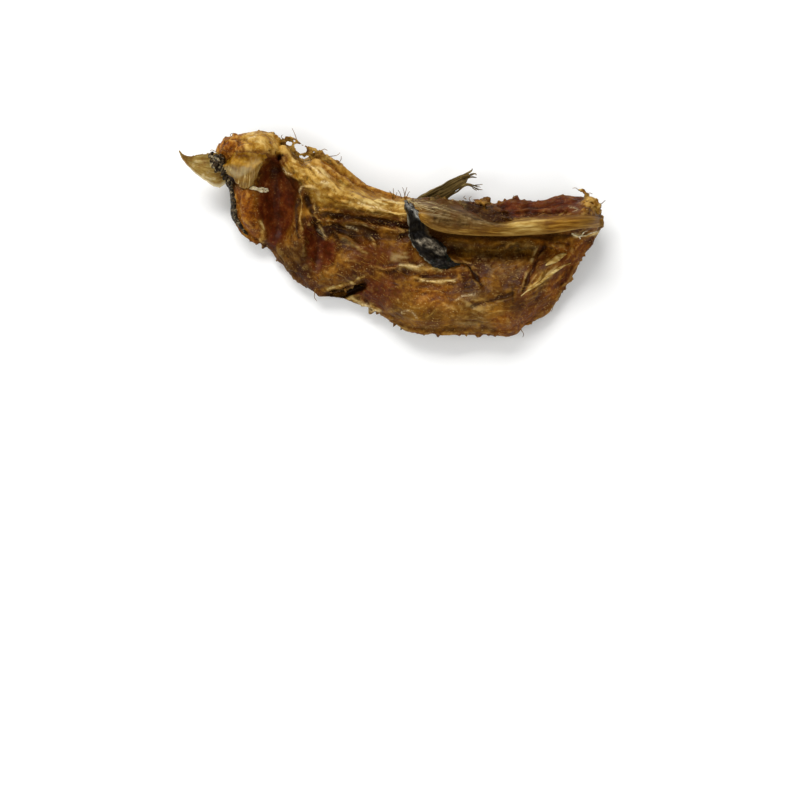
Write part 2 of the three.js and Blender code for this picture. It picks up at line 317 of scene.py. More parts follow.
FOLDS = {
    "brow roll": ([(2.8, 88), (4, 92.5), (7, 95.6), (11, 95.8), (14.5, 97), (16.8, 93.5)], 1.9, 0.2),
    "brow bump": ([(5.2, 95.8), (6.6, 96.6)], 1.7, 0.6),
    "pale bump": ([(13.4, 97.4), (14.8, 97.4)], 1.6, 0.5),
    "rust lump": ([(4, 89.5), (5, 92), (7, 93)], 2.6, 0.6, 0.9),
    "gold cheek": ([(6, 89.5), (9, 90.5), (12, 90.5), (14.4, 90)], 2.4, 0.6),
    "ivory lump": ([(9.5, 93.6), (12, 94.4), (14.5, 93.8)], 2.8, 0.4, 0.9),
    "throat rim": ([(14.5, 92), (15.7, 89.8), (15.9, 87.6)], 1.5, 0.4),
    "first gold ridge": ([(17.3, 91.5), (18.8, 88), (21.2, 82.5), (23, 78.5), (23.8, 75)], 2.6, -0.1),
    "second gold ridge": ([(18.8, 91.4), (21, 87), (23.4, 82), (25.2, 78), (27.5, 74)], 1.2, 0.1),
    "cord across": ([(24, 84), (26, 80.5), (28.5, 76), (31, 72), (33, 68)], 0.7, 0.6),
    "bay roll": ([(26, 89), (29.5, 85.5), (33.5, 79), (37.5, 73.8), (42, 71), (47, 68)], 2.4, -0.9),
    "inner neck fold": ([(25.5, 86), (28, 82), (31.5, 77), (36, 72)], 2.6, -1),
    "pale rib": ([(25.3, 82), (27, 78), (29, 74), (31.5, 70.5)], 0.7, 0.7),
    "gold drape": ([(18, 79), (20.5, 77.5), (23.5, 74.6), (25, 71.5)], 1.4, 0.5),
    "crease": ([(23.5, 72), (22.6, 69), (22.5, 62), (22.3, 56), (22.9, 48), (23.3, 41)], 0.55, 0.5),
    "crease hook": ([(22.3, 69), (22.7, 71.4), (24.2, 72.8), (26.5, 72)], 0.6, 0.4),
    "side fold": ([(25.8, 63), (26.6, 57), (27.6, 52), (28.8, 47.5)], 0.65, 0.4),
    "brown zone": ([(24, 62), (24.6, 56), (25.4, 51)], 1.6, -0.2),
    "low zone": ([(16.5, 44), (19, 38), (22, 32)], 1.8, -0.3),
    "low zone beside": ([(20.5, 46), (21.6, 39), (24, 32)], 1.2, 0),
    "lobe rim": ([(6.2, 71), (5.8, 62), (6.6, 54), (9, 48.5), (11.3, 46.6), (12.7, 48.5),
        (12, 54)], 1.3, 0.2),
    "lobe": ([(8, 67), (8.6, 60), (9.8, 52.5)], 2.8, -0.6),
    "shelf lip": ([(26.5, 61), (30, 61.2), (35, 60.2), (39, 59), (43, 57), (47, 56),
        (49.5, 55.5)], 1.3, 0.7, 0.8),
    "shelf filling": ([(24.6, 58.5), (28, 57.6), (33, 57.2), (39, 55.6), (44.5, 53),
        (50, 51.6)], 3.2, 1),
    "low filling": ([(30, 53.4), (36, 52.4), (42, 50), (48, 48)], 2.6, -0.2),
    "shelf fibre": ([(33, 64), (38, 62.6), (43, 61), (48, 58.5)], 1.4, 0),
    "upper shelf fibre": ([(36, 67.5), (41, 65.5), (47, 64)], 1.4, 0),
    "short shelf fibre": ([(29, 68), (32, 66), (35, 65)], 1.4, 0.2),
    "shoulder fold": ([(30, 52.5), (34, 48), (38, 43.5), (42, 40)], 1.3, 0.2),
    "shoulder strand": ([(37.5, 55), (39.5, 51), (41, 46), (41.5, 42)], 1, 0.2),
    "belly fold": ([(33, 37.5), (38, 35), (44, 32.8), (49, 33.8), (54, 33)], 1, 0),
    "glint fold": ([(51, 28.4), (54, 27), (58, 26), (62, 26.6)], 0.7, 0.3),
    "lower fold": ([(44, 24), (50, 22.5), (57, 21.5)], 1, -0.2),
    "nodule": ([(27.3, 29.6), (27.7, 27.3)], 2.2, 0.9),
    "slit lip": ([(28.5, 21.5), (31, 22.8), (34.5, 25.3), (38.5, 28)], 0.9, 0.8),
    "pale hem": ([(32.5, 19.6), (36, 18), (39.5, 15), (42.5, 12)], 1.2, 0),
    "belly hem": ([(44.5, 8.6), (49, 4.5), (53, 2.8), (60, 2.2), (66, 2), (72, 2),
        (77, 2.6)], 1.5, -0.3),
    "tail strand": ([(83.3, 44.5), (81.6, 38.5), (80, 31), (78.3, 22)], 0.5, 0.1),
    "tail strand beside": ([(85.3, 44), (83.6, 38.5), (82.3, 33)], 0.6, 0),
    "tail fold": ([(86, 44.5), (89.5, 43.5), (92, 40), (92.5, 35)], 1.4, 0),
    "tail hem": ([(98.6, 53), (96.8, 47.6), (94, 40), (91.5, 32), (88.7, 23), (86.5, 15.5)], 1.4, -0.3),
    "muscle back": ([(72, 62.5), (76, 64.6), (82, 63), (88, 65), (93, 66)], 2.3, 0.6, 0.9),
    "muscle front": ([(75, 60.5), (80, 60.8), (86, 60.4), (92, 61)], 1.5, 0.3),
    "purple lump": ([(64.6, 64.6), (67, 62.4), (70, 59.4), (74, 57)], 1.5, 0.9, 0.9),
    "purple fold": ([(66.5, 65), (69, 62.4), (72.5, 60)], 1.2, 0.7),
    "purple roll": ([(62, 66.4), (65.4, 63.4), (69, 60.6), (73, 58.2), (76, 56.4)], 1.1, 1.7, 0.9),
    "purple upper roll": ([(65.6, 66.4), (68.4, 64.8), (72, 61.8), (75.4, 59.6)], 0.9, 1.5, 0.9),
    "purple cross fold": ([(66.6, 60.8), (68.4, 62.6), (70.6, 63.4)], 0.9, 1.8, 0.9),
    "purple tuft": ([(68.5, 64.8), (69.6, 65.6), (70.8, 64.6)], 1.1, 0.6),
    "tail knob": ([(94, 65.5), (96.5, 64), (97.8, 60)], 2.6, 0.5),
    "tail tuft": ([(94.8, 66), (95.2, 68.5), (94.3, 70.3), (92.8, 71.3)], 1, 1.5, 0.8),
    "knob lump": ([(95.3, 66.6), (96.6, 65.8)], 1.3, 1.2),
    "knob side lump": ([(97.6, 65.2), (98.2, 63.4)], 1.2, 0.9),
    "knob inner lump": ([(94.6, 63.4), (96, 62.4)], 1, 0.9),
    "knob lower lump": ([(97.2, 61), (98.4, 59.8)], 1.1, 0.9),
    "knob small lump": ([(94, 61), (95.4, 60.2)], 0.8, 0.8),
    "hide roll": ([(52.5, 64.5), (57, 66), (62, 65)], 1.4, 0.2),
}

# Hollows pressed into it: line, half width, depth.

HOLLOWS = {
    "throat": ([(16.7, 87.8), (16.9, 86.6)], 1.3, 5.0),
    "throat foot": ([(15.6, 85), (15.2, 79)], 2.6, 1.0),
    "slit": ([(30.5, 20.2), (34, 22), (38, 24.8)], 1.6, 5.0),
    "under the shelf": ([(27.5, 58.4), (33, 58.2), (39, 56.8), (45, 54.6), (50, 53)], 1.3, 1.4),
    "beside the crease": ([(21.6, 66), (21.5, 58), (22, 48)], 0.8, 0.7),
    "knot hollow": ([(24, 67), (24.4, 63.5)], 1.0, 0.9),
    "crack": ([(60, 34.8), (64.3, 34.8), (66, 32), (67.6, 27), (68.5, 24.5)], 0.9, 1.6),
    "tail groove": ([(84.6, 44), (82.6, 37), (80.8, 30), (79, 22)], 1.0, 1.4),
    "tail cleft": ([(88, 27), (91, 34)], 1.8, 1.6),
    "muscle groove": ([(72, 58.8), (80, 58.9), (90, 59.2)], 1.0, 1.2),
    "lower groove": ([(49, 30.6), (55, 29), (62, 29.5)], 1.2, 0.7),
    "knob pit": ([(96, 64.3), (96.4, 64)], 0.5, 1.3),
    "knob side pit": ([(97, 62.4), (97.4, 62)], 0.45, 1.2),
    "knob small pit": ([(95, 65), (95.2, 64.8)], 0.4, 1.0),
    "dark fold": ([(66, 14), (71, 17), (76, 20)], 1.3, 1.2),
}


def fold_radii(radius, count):
    along = np.linspace(0, 1, count)
    return radius * np.sqrt(np.clip(1 - (2 * along - 1) ** 4, 0.02, 1))


def laid_line(bed, points, lift):
    """A smooth line over a bed, lift mm above it, that doesn't dip into each wrinkle."""
    line = smooth_line(at(points), 14 * len(points))
    heights = bed.heights(line)
    for _ in range(6):
        heights[1:-1] = 0.5 * heights[1:-1] + 0.25 * (heights[:-2] + heights[2:])
    return np.column_stack([line[:, :2], heights + lift])


def wobbled(line, amount, size, seed):
    return line + amount * drift(line, size, seed, seed + 1, seed + 2)


# Regions of colour and finish on the flesh: strength, softness in mm, outline.

REGIONS = {
    "gold": [
        (1, 2.5, [(6.5, 98.5), (16, 100), (19, 92), (24, 80), (23, 73), (18, 79), (14, 89), (9, 88),
            (7, 92)]),
        (0.85, 2.5, [(22, 87), (27, 92), (34, 81), (46, 70), (51, 68), (50, 56), (44, 57.5),
            (36, 60.5), (27, 62), (24, 72)]),
        (0.18, 4, [(43, 21), (55, 24), (66, 20), (76, 22), (79, 8), (74, -1), (56, 0), (45, 7)]),
        (0.3, 2, [(46, 14), (50, 20), (55, 15), (51, 7)]),
        (0.2, 2.5, [(82, 47), (93, 48), (95, 42), (90, 30), (86, 22), (80, 22), (81, 34)]),
        (0.3, 1.5, [(85, 43), (92, 46), (90, 40), (86, 38)]),
        (0.6, 1.5, [(93, 69), (97.5, 69), (99.5, 64), (99.5, 58), (96, 59.5), (94, 63)]),
        (0.4, 2, [(60, 45.4), (84, 45.4), (87, 42.5), (80, 40), (64, 40)]),
    ],
    "rust_and_painted_highlight": [
        (0.6, 3, [(50, 24), (60, 24), (66, 19), (60, 12), (52, 14)]),
        (0.6, 2.5, [(70, 8), (76, 12), (84, 12), (80, 3), (72, 0)]),
        (0.7, 1.5, [(33, 78), (38, 75), (46, 71), (51, 69), (46, 67), (37, 71)]),
        (0.8, 2.5, [(82, 47), (93, 48), (96, 44), (92, 32), (87, 18), (84, 20), (88, 34)]),
        (0.9, 2, [(0, 90), (3, 97), (7, 99), (8.5, 91), (5, 84), (2, 84)]),
        (0.9, 2, [(5, 71), (10, 70), (11, 58), (13, 48), (10, 44), (6.5, 52), (4.5, 60)]),
        (0.7, 3, [(3.5, 88), (13, 88), (13.5, 83), (9, 82), (4, 82)]),
        # Painted light: this patch lightens the top of the red glass against the shade of its own dome.
        (0.6, 3, [(13.6, 87), (17.6, 88), (18, 80), (17, 74), (13.5, 74)]),
        (0.65, 2, [(26.5, 86), (30, 85), (34, 78), (30, 74), (27, 78)]),
    ],
    "red": [
        (1, 2, [(13.6, 87), (17.6, 88), (18, 80), (22, 75), (21.5, 66), (20.5, 56), (19, 48),
            (14, 44.5), (12, 52), (11, 60), (11, 70), (13, 76)]),
        (1, 2, [(23.5, 53), (28, 52), (31, 45), (31, 36), (26.5, 32.5), (23.4, 38)]),
        (0.95, 1.5, [(71, 62), (76, 68), (87, 69), (94, 69), (93, 58.5), (84, 58.5), (76, 57.5)]),
        (0.7, 2, [(35, 19), (39, 28), (46, 29), (48, 20), (43, 12)]),
        (0.7, 1.2, [(77, 17), (79, 30), (82.5, 40), (84.5, 46), (85.5, 40), (81.8, 29), (80, 18)]),
        (0.7, 1.5, [(87.5, 25), (90, 33), (93.5, 36), (91, 26)]),
        (0.55, 3, [(36, 47), (46, 43), (54, 38), (46, 33), (36, 37)]),
        (0.5, 3, [(84, 34), (90, 40), (95, 44), (92, 34), (87, 28)]),
        (0.3, 4, [(76, 20), (86, 20), (84, 8), (78, 1), (72, 2), (74, 12)]),
    ],
    # Painted shade, mostly: these darken hollows where shade falls, such as the trough under the bone's lip,
    # the groove under the shelf, the slit, the throat hole, the low zone and the dark fold; some broad
    # patches darken the tissue's own tone too.
    "dark": [
        (0.45, 3, [(31, 56), (36, 57), (40, 52), (36, 44), (31, 44)]),
        (0.95, 1.2, [(53, 52), (66, 50), (80, 49.5), (92, 50.5), (90, 48), (80, 46.8), (66, 46.8),
            (56, 48)]),
        (0.12, 5, [(56, 49), (80, 48), (90, 48), (84, 41), (74, 38), (62, 38), (58, 42)]),
        (0.05, 1.5, [(27, 60), (36, 60), (44, 57), (50, 55), (50, 53.4), (42, 55.2), (30, 57)]),
        (1, 0.8, [(30, 20), (34, 23.3), (38.5, 26.5), (39, 23), (34.5, 19.7)]),
        (1, 0.5, [(16.3, 88.3), (17.1, 88.3), (17.3, 86.3), (16.4, 86.1)]),
        (0.65, 1.2, [(63, 66), (67, 65.5), (71, 64), (77, 59.5), (76, 54.5), (70, 54.5), (65, 58.5)]),
        (0.6, 3, [(15, 44), (23, 46), (25, 30), (21, 26), (17, 37)]),
        (0.6, 2, [(18.5, 79), (23, 75), (22, 66), (20, 66)]),
        (0.5, 2.5, [(74, 27), (79, 27), (79, 12), (74, 14)]),
        (0.4, 3, [(60, 22), (68, 26), (76, 24), (75, 17), (66, 14), (61, 17)]),
        (0.7, 1.5, [(52.6, 54), (56, 51), (61, 49.5), (60, 44.5), (56, 46.5), (54, 50)]),
    ],
    "pale": [
        (0.3, 1.2, [(33, 54), (37, 54), (37, 51), (33, 51)]),
        (0.25, 1.5, [(46, 41), (50, 41), (50, 37), (46, 37)]),
        (0.9, 1.6, [(34, 66), (42, 67), (48, 67), (50, 62), (50, 56), (44, 58), (36, 61)]),
        (0.7, 1.2, [(25, 83), (27, 82), (32, 71), (29, 70)]),
        (0.6, 1, [(33.5, 20), (38, 18), (43, 13.5), (43, 11), (38, 14), (33.5, 18)]),
        (0.7, 2, [(8, 99), (15, 100), (16, 94), (12, 91), (9, 94)]),
        (0.5, 1.5, [(26, 70), (33, 71), (34, 68), (27, 67)]),
        (0.2, 2.5, [(58, 16), (66, 20), (70, 12), (70, 4), (62, 6)]),
        (0.35, 1, [(94, 68), (97, 68), (99, 64), (97, 62), (95, 64)]),
        (0.6, 2, [(17.5, 91), (20, 90), (23.6, 80), (22, 78.5), (19, 84)]),
    ],
    "hide": [
        (1, 1.5, [(51, 68), (62, 68.5), (65, 65), (65, 60), (70, 55.5), (74, 53), (66, 50), (56, 52),
            (52, 58)]),
    ],
    "bloom_and_painted_highlight": [
        (0.9, 3, [(67, 42), (77, 41), (80, 32), (75, 26), (68, 32)]),
        (0.5, 2, [(50, 66), (56, 66), (60, 60), (52, 58)]),
    ],
}

# Narrow lines of colour: strength, half width in mm, line.

TINTED_LINES = {
    # Painted highlights, mostly: glints on ridges, fold edges and whitish spots; one line is a pale squiggle
    # on the muscle.
    "bright": [
        (1, 0.56, [(12.4, 87), (13.2, 85.8)]), (0.9, 0.5, [(27.6, 74.2), (29.4, 73.6)]),
        (0.8, 0.37, [(17.8, 81.5), (18.6, 79.6), (20, 78.6)]), (0.7, 0.43, [(9.5, 95.6), (11.4, 96.2)]),
        (0.7, 0.43, [(24, 84), (26, 80.5), (28, 76.6)]),
        (0.7, 0.56, [(37, 64), (41, 62.4), (45, 60.4)]), (0.7, 0.43, [(43, 67.5), (47, 65)]),
        (0.8, 0.43, [(26.6, 90), (28.2, 87.6), (29.6, 85.4)]),
        (0.7, 0.31, [(53, 26.8), (57, 26.3), (61.5, 26.8)]),
        (0.4, 0.37, [(22.3, 69), (22.7, 71.4), (24.2, 72.8), (26, 72.4)]),
        (0.7, 0.5, [(36.5, 16.4), (39.6, 14.2), (42, 12)]),
        (0.5, 0.43, [(48, 11), (50, 12.4), (52, 9)]), (0.5, 0.43, [(62, 17), (64, 19.6), (66.5, 20)]),
        (0.5, 0.5, [(34, 53), (36.6, 52)]), (0.5, 0.5, [(26.8, 52), (28.4, 48)]),
        (0.6, 0.43, [(47.6, 34.4), (51, 33.6), (53.4, 34.4)]),
        (0.4, 0.4, [(90.6, 62.4), (92, 61.6), (92.6, 60.4), (91.4, 59.8)]),
    ],
    "pale": [
        (0.5, 0.5, [(22.6, 69), (22.5, 62), (22.3, 56), (22.9, 48), (23.3, 41)]),
        (0.7, 0.6, [(25.8, 63), (26.6, 57), (27.6, 52), (28.8, 47.5)]),
        (0.6, 0.9, [(23.5, 72.5), (26, 72)]), (0.8, 1, [(11.9, 56), (12.7, 50), (12.4, 47)]),
        (0.4, 0.8, [(33, 47), (37, 43), (39, 40)]), (0.4, 0.8, [(38, 55), (40, 50), (41, 45)]),
        (0.9, 0.7, [(28.5, 22.6), (31, 23.8), (34.5, 26.4), (38.5, 28.8)]),
        (1, 0.7, [(53, 26.8), (57, 26.3), (61.5, 26.8)]), (0.7, 1.2, [(48, 33.5), (53, 33), (58, 32)]),
        (0.45, 0.6, [(83.3, 44.5), (81.6, 38.5), (80, 31), (78.3, 22)]),
        (0.8, 0.8, [(92, 49.3), (94, 48.2), (96.5, 50), (98.3, 50.8)]),
        (0.6, 1.4, [(80, 23), (84, 28), (88, 32)]), (0.8, 1.2, [(94.8, 66), (95.2, 68.5), (93, 71)]),
    ],
    # Painted shade: these lines darken the creases, the crack, the grooves, the slit, the knob's pits and the
    # groove between the purple rolls.
    "dark": [
        (0.8, 0.8, [(24.9, 63), (25.8, 57), (26.6, 52), (27.6, 48)]),
        (0.9, 0.9, [(24, 67.5), (24.6, 63.5)]),
        (1, 0.7, [(60, 34.8), (64.3, 34.8), (66, 32), (67.6, 27)]),
        (0.9, 0.7, [(21.2, 66), (21.3, 58), (21.9, 48)]), (0.9, 1, [(76, 24), (76.3, 17)]),
        (0.6, 1, [(66, 15), (71, 17.5), (75, 17)]),
        (1, 0.5, [(64.6, 65.4), (67.6, 63), (71.6, 60.4), (75, 58.4)]),
        (1, 1.9, [(28.8, 19.6), (31.4, 20.6), (34.6, 22.2), (38.2, 25)]),
        (1, 0.5, [(96, 64.3), (96.4, 64)]), (1, 0.5, [(97, 62.4), (97.4, 62)]),
        (0.9, 0.4, [(95, 65), (95.2, 64.8)]),
    ],
    # Painted highlights on the crests of the purple rolls and the cross fold; the last line lightens a
    # whitish patch by the throat.
    "bloom_and_painted_highlight": [
        (0.9, 0.7, [(62.4, 66.2), (65.4, 63.4), (69, 60.6), (73, 58.2)]),
        (0.8, 0.5, [(66.6, 60.8), (68.4, 62.6), (70.6, 63.4)]), (0.8, 1.5, [(14, 87), (12.5, 85.5)]),
    ],
    # Painted highlight: this line lightens the crest of the purple upper roll.
    "rust_and_painted_highlight": [
        (0.8, 0.6, [(65.6, 66.4), (68.4, 64.8), (72, 61.8), (75.4, 59.6)]),
    ],
}


def tint_masks(points):
    """Region weights on the flesh, with edges that wander as torn tissue does."""
    xy = points[:, :2] + 1.6 * drift(points, 7, 31, 47, kind=layered)
    near = points[:, :2] + 0.5 * drift(points, 3, 5, 9)
    masks = {kind: np.zeros(len(points)) for kind in {**REGIONS, **TINTED_LINES}}
    for kind in masks:
        for strength, softness, outline in REGIONS.get(kind, ()):
            inside = outline_distance(xy, at(outline))
            masks[kind] = np.maximum(masks[kind], strength * ease(inside, -softness, softness))
        for strength, width, line in TINTED_LINES.get(kind, ()):
            away = line_distance(near, smooth_line(at(line), 20))
            masks[kind] = np.maximum(masks[kind], strength * np.exp(-((away / width) ** 2)))
    return masks


# Where the strands of the flesh run: the middle and reach of a stretch, and their bearing.
# Muscle fibres, about 0.1 mm thick, are too fine to show, so strands are drawn 1.4 mm wide.

GRAINS = ((-78, 16, -74), (-50, 20, -48), (-12, 26, -22), (34, 30, -3), (78, 18, 44))


def fibre_relief(points):
    """Strands and the folds between them, which turn from the head end to the tail end."""
    shares = np.zeros(len(points))
    strands = np.zeros(len(points))
    folds = np.zeros(len(points))
    x, y, z = (points + 3.5 * drift(points, 11, 61, 62, 63, kind=two_layered)).T
    for middle, reach, bearing in GRAINS:
        c = math.cos(math.radians(bearing))
        s = math.sin(math.radians(bearing))
        turned = np.column_stack([x * c + y * s, y * c - x * s, z])
        share = np.exp(-(((points[:, 0] - middle) / reach) ** 2)) + 1e-6
        strands += share * layered(turned, (7, 1.4, 3), 71)
        ridge = 1 - np.abs(layered(turned, (13, 4.5, 8), 75, 2))
        folds += share * ridge**3
        shares += share
    return strands / shares, folds / shares


# Where the flesh is smooth: how much, softness in mm, outline.

CALM = [
    (1, 3, [(55, 50), (66, 49.5), (90, 50.5), (93, 46), (84, 40), (72, 36), (62, 38), (57, 44)]),
    (0.9, 2, [(13.6, 85), (18, 80), (21.5, 68), (20.5, 56), (18, 49), (14, 47), (12, 58), (12, 70)]),
    (0.7, 2, [(72, 60), (76, 66), (94, 68), (92, 58), (80, 58)]),
    (0.5, 3, [(4, 88), (8, 98), (16, 98), (15, 88), (8, 86)]),
    (0.5, 2, [(5, 70), (10, 70), (12, 50), (8, 48)]),
    (0.4, 4, [(44, 20), (60, 24), (78, 20), (78, 2), (52, 3)]),
    (0.6, 2, [(24, 50), (30, 47), (30.5, 37), (26, 34), (24, 40)]),
    (0.5, 2, [(42, 52), (49, 52), (49, 45), (43, 44)]),
    (1, 1.5, [(2.5, 79), (6, 77), (7.4, 60), (10.5, 49), (8, 46), (3, 56), (2, 68)]),
    (0.75, 2.5, [(16, 94), (19, 87), (22, 80), (24, 70), (28, 62), (36, 60), (50, 56), (51, 68),
        (46, 71), (34, 82), (27, 93), (20, 97)]),
]


def fuse_folds(cad):
    """The CAD flesh with its folds laid on it, as one skin."""
    clay = Clay()
    clay.add_mesh(cad)
    bed = Bed(cad)
    for seed, (line, radius, lift, *flat) in enumerate(FOLDS.values()):
        course = wobbled(laid_line(bed, line, lift), 0.7, 5, seed)
        swell = 1 + 0.35 * layered(course, 5, seed + 100, 2)
        clay.add(*tube(course, fold_radii(radius, len(course)) * swell, 10, *flat))
    return clay.fuse("flesh", FLESH_VOXEL, 3)


def press_hollows(points, upper):
    near = points[:, :2] + 0.6 * drift(points, 3, 3, 4)
    for line, width, depth in HOLLOWS.values():
        course = smooth_line(at(line), 24)
        fade = np.exp(-((line_distance(near, course) / width) ** 2))
        points[:, 2] -= depth * fade * upper


def relief(points, normals, upper, strands, folds):
    """How far wrinkles, strands, lumps and the tags of torn edges stand out, in mm."""
    calm = np.zeros(len(points))
    for strength, softness, outline in CALM:
        inside = outline_distance(points[:, :2], at(outline))
        calm = np.maximum(calm, strength * ease(inside, -softness, softness))
    lively = 1 - 0.85 * calm
    lumps = 0.9 * layered(points, 15, 11, 2) + 0.5 * layered(points, 6, 12, 2)
    wrinkles = 0.1 * layered(points, 2.4, 13, 2)
    inner = (lumps * (0.35 + 0.65 * lively)
             + lively * (0.3 * (1.3 * folds - 0.6) + 0.2 * strands + wrinkles))
    skin = 0.5 * layered(points, 9, 14) + 0.12 * noise(points, 1.6, 15)
    height = inner * upper + skin * (1 - upper) * ease(points[:, 2], 0.0, 2.0)
    facing_out = ease(0.4 - np.abs(normals[:, 2]), 0, 0.3) * ease(points[:, 2], 0.5, 3)
    tags = np.clip(noise(points, 1.7, 18) + 0.4 * noise(points, 5, 19) - 0.1, 0, 1) ** 1.5
    height += facing_out * (1 - 0.8 * calm) * (0.7 * layered(points, 3.5, 16) + 2.6 * tags - 0.3)
    return height


def sculpt_flesh():
    """The flesh, with the masks and measures stored on it that its material reads."""
    piece = fuse_folds(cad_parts["dried_flesh"].data)
    mesh = piece.data
    edges = mesh_edges(mesh)
    points = mesh_points(mesh)
    upper = ease(mesh_normals(mesh)[:, 2], -0.25, 0.25)
    press_hollows(points, upper)
    set_points(mesh, points)
    normals = mesh_normals(mesh)
    masks = tint_masks(points)
    strands, folds = fibre_relief(points)
    points = points + normals * relief(points, normals, upper, strands, folds)[:, None]
    points[:, 2] = np.maximum(points[:, 2], 0.0)
    set_points(mesh, points)
    normals = mesh_normals(mesh)
    close = averaged(points, edges, 5)
    broad = averaged(close, edges, 40)
    turned_down = averaged(normals, edges, 12)[:, 2]
    for kind, values in masks.items():
        store(mesh, kind, values * upper)
    # How far each spot stands above its close and its broad surroundings; the material paints shade in the
    # hollows and highlights on the crests from these.
    store(mesh, "raised", 0.5 + 2.2 * np.einsum("ij,ij->i", points - close, normals))
    store(mesh, "stands_out", 0.5 + 0.45 * np.einsum("ij,ij->i", close - broad, normals))
    store(mesh, "strand", 0.5 + 0.38 * strands)
    store(mesh, "skin", (1 - ease(turned_down, -0.4, -0.05)) * (1 - masks["dark"]))
    return piece


# Thin pieces: sheets lofted between lines, each line (length %, breadth %, lift in mm)

def loft(lines, across, along):
    """A grid of points on a sheet that runs smoothly from line to line."""
    rails = np.array([smooth_line(at(line), along) for line in lines])
    return np.stack([smooth_line(rails[:, i], across) for i in range(along + 1)], axis=1)


def lay_on(grid, bed):
    """Lifts a grid, whose third number is its height over the bed, onto the bed."""
    laid = grid.copy()
    laid[..., 2] += softened(bed.heights(grid.reshape(-1, 3)).reshape(grid.shape[:2]), 8)
    return laid


def edge_gap(shape):
    """For each cell of a grid, how many cells it is from the nearest border."""
    rows, columns = shape
    r, c = np.meshgrid(np.arange(rows), np.arange(columns), indexing="ij")
    return np.minimum(np.minimum(r, rows - 1 - r), np.minimum(c, columns - 1 - c))


def thicken(name, grid, thickness, keep):
    """A closed sheet, a thickness deep, from a grid; the cells that keep drops are left out."""
    rows, columns = grid.shape[:2]
    normal = unit(np.cross(np.gradient(grid, axis=0), np.gradient(grid, axis=1)))
    u, v = np.meshgrid(np.linspace(0, 1, rows), np.linspace(0, 1, columns), indexing="ij")
    if normal[..., 2].mean() < 0:
        normal = -normal[:, ::-1]
        grid = grid[:, ::-1]
        keep = keep[:, ::-1]
        v = v[:, ::-1]
    half = np.broadcast_to(thickness, (rows, columns))[..., None] / 2
    points = np.concatenate([grid + normal * half, grid - normal * half]).reshape(-1, 3)
    index = np.arange(rows * columns).reshape(rows, columns)
    under = rows * columns
    faces = []
    for r in range(rows - 1):
        for c in range(columns - 1):
            if not keep[r, c]:
                continue
            ring = (index[r, c], index[r + 1, c], index[r + 1, c + 1], index[r, c + 1])
            beside = ((r, c - 1), (r + 1, c), (r, c + 1), (r - 1, c))
            faces.append(ring)
            faces.append(tuple(i + under for i in reversed(ring)))
            for k, (nr, nc) in enumerate(beside):
                if 0 <= nr < rows - 1 and 0 <= nc < columns - 1 and keep[nr, nc]:
                    continue
                a, b = ring[k], ring[(k + 1) % 4]
                faces.append((b, a, a + under, b + under))
    used = np.unique(np.array([i for face in faces for i in face]))
    renumber = {int(old): new for new, old in enumerate(used)}
    mesh = make_mesh(name, points[used], [tuple(renumber[int(i)] for i in face) for face in faces])
    piece = make_piece(name, mesh)
    store(mesh, "across", np.tile(u.ravel(), 2)[used])
    store(mesh, "along", np.tile(v.ravel(), 2)[used])
    set_points(mesh, averaged(mesh_points(mesh), mesh_edges(mesh), 1))
    return piece


def crinkled(grid, amount, size, seed):
    """A grid shifted by noise, twice as far up and down as sideways."""
    shift = drift(grid.reshape(-1, 3), size, seed, seed + 1, seed + 2, kind=layered) * (0.5, 0.5, 1)
    return grid + amount * shift.reshape(grid.shape)


def cell_centres(grid):
    return ((grid[1:, 1:] + grid[:-1, :-1]) / 2).reshape(-1, 3)


def ragged(grid, depth, size, seed, only_its_end=False):
    """The cells that stay when a sheet's borders are frayed up to depth cells deep."""
    cells = (grid.shape[0] - 1, grid.shape[1] - 1)
    fray = layered(cell_centres(grid), size, seed).reshape(cells)
    gap = np.arange(cells[1])[::-1] if only_its_end else edge_gap(cells)
    return gap >= depth * np.clip(fray, 0, 1)


def open_holes(grid, keep, holes):
    """Drops the cells inside round holes: length %, breadth %, half length and breadth in mm."""
    centres = cell_centres(grid)
    wobble = 0.35 * noise(centres, 1.5, 88)
    for along, across, *half in holes:
        x, y = ((centres[:, :2] - at([(along, across)])[0]) / half).T
        keep = keep & (np.hypot(x, y) + wobble > 1).reshape(keep.shape)
    return keep


def mark(piece, outlines):
    """Stores masks on a piece: for each name, softness in mm and outline."""
    points = mesh_points(piece.data)
    near = points[:, :2] + 1.5 * drift(points, 6, 91, 92)
    for name, (softness, outline) in outlines.items():
        store(piece.data, name, ease(outline_distance(near, at(outline)), -softness, softness))
    return piece


def cad_bed(name):
    return Bed(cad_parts[name].data)


def make_gill_plate():
    """A thin dished plate of bone with ribs that fan out from its point."""
    upper = [(-8.6, 90.3, 0), (-7.6, 88.3, 0.3), (-6, 87.3, 0.2), (-4, 88, 0), (-1.5, 88.9, 0),
             (1, 89.6, 0), (3, 89, -0.5)]
    middle = [(-8.5, 90, 0), (-7.4, 86.5, -0.5), (-5.4, 83.6, -0.9), (-2.8, 81.8, -0.9),
              (0.5, 81, -0.8), (3, 81, -0.8)]
    lower = [(-8.4, 89.7, 0), (-7.7, 86.4, 0.3), (-6.3, 82.9, 0.4), (-4.6, 79.6, 0.4),
             (-2.5, 76.6, 0.3), (-0.3, 73.9, 0.3), (1.5, 72.1, 0.2), (2.8, 73.6, 0), (4, 75.4, -0.3)]
    grid = lay_on(loft([upper, middle, lower], 44, 64), cad_bed("gill_plate"))
    u = np.linspace(0, 1, 45)[:, None]
    grid[..., 2] += 0.07 * np.sin(u * 52) + 0.1 * np.sin(u * 23 + 1)
    grid = crinkled(grid, 0.5, 5, 300)
    return thicken("gill_plate_bone", grid, GILL_PLATE_THICKNESS, ragged(grid, 2.2, 1.6, 301))


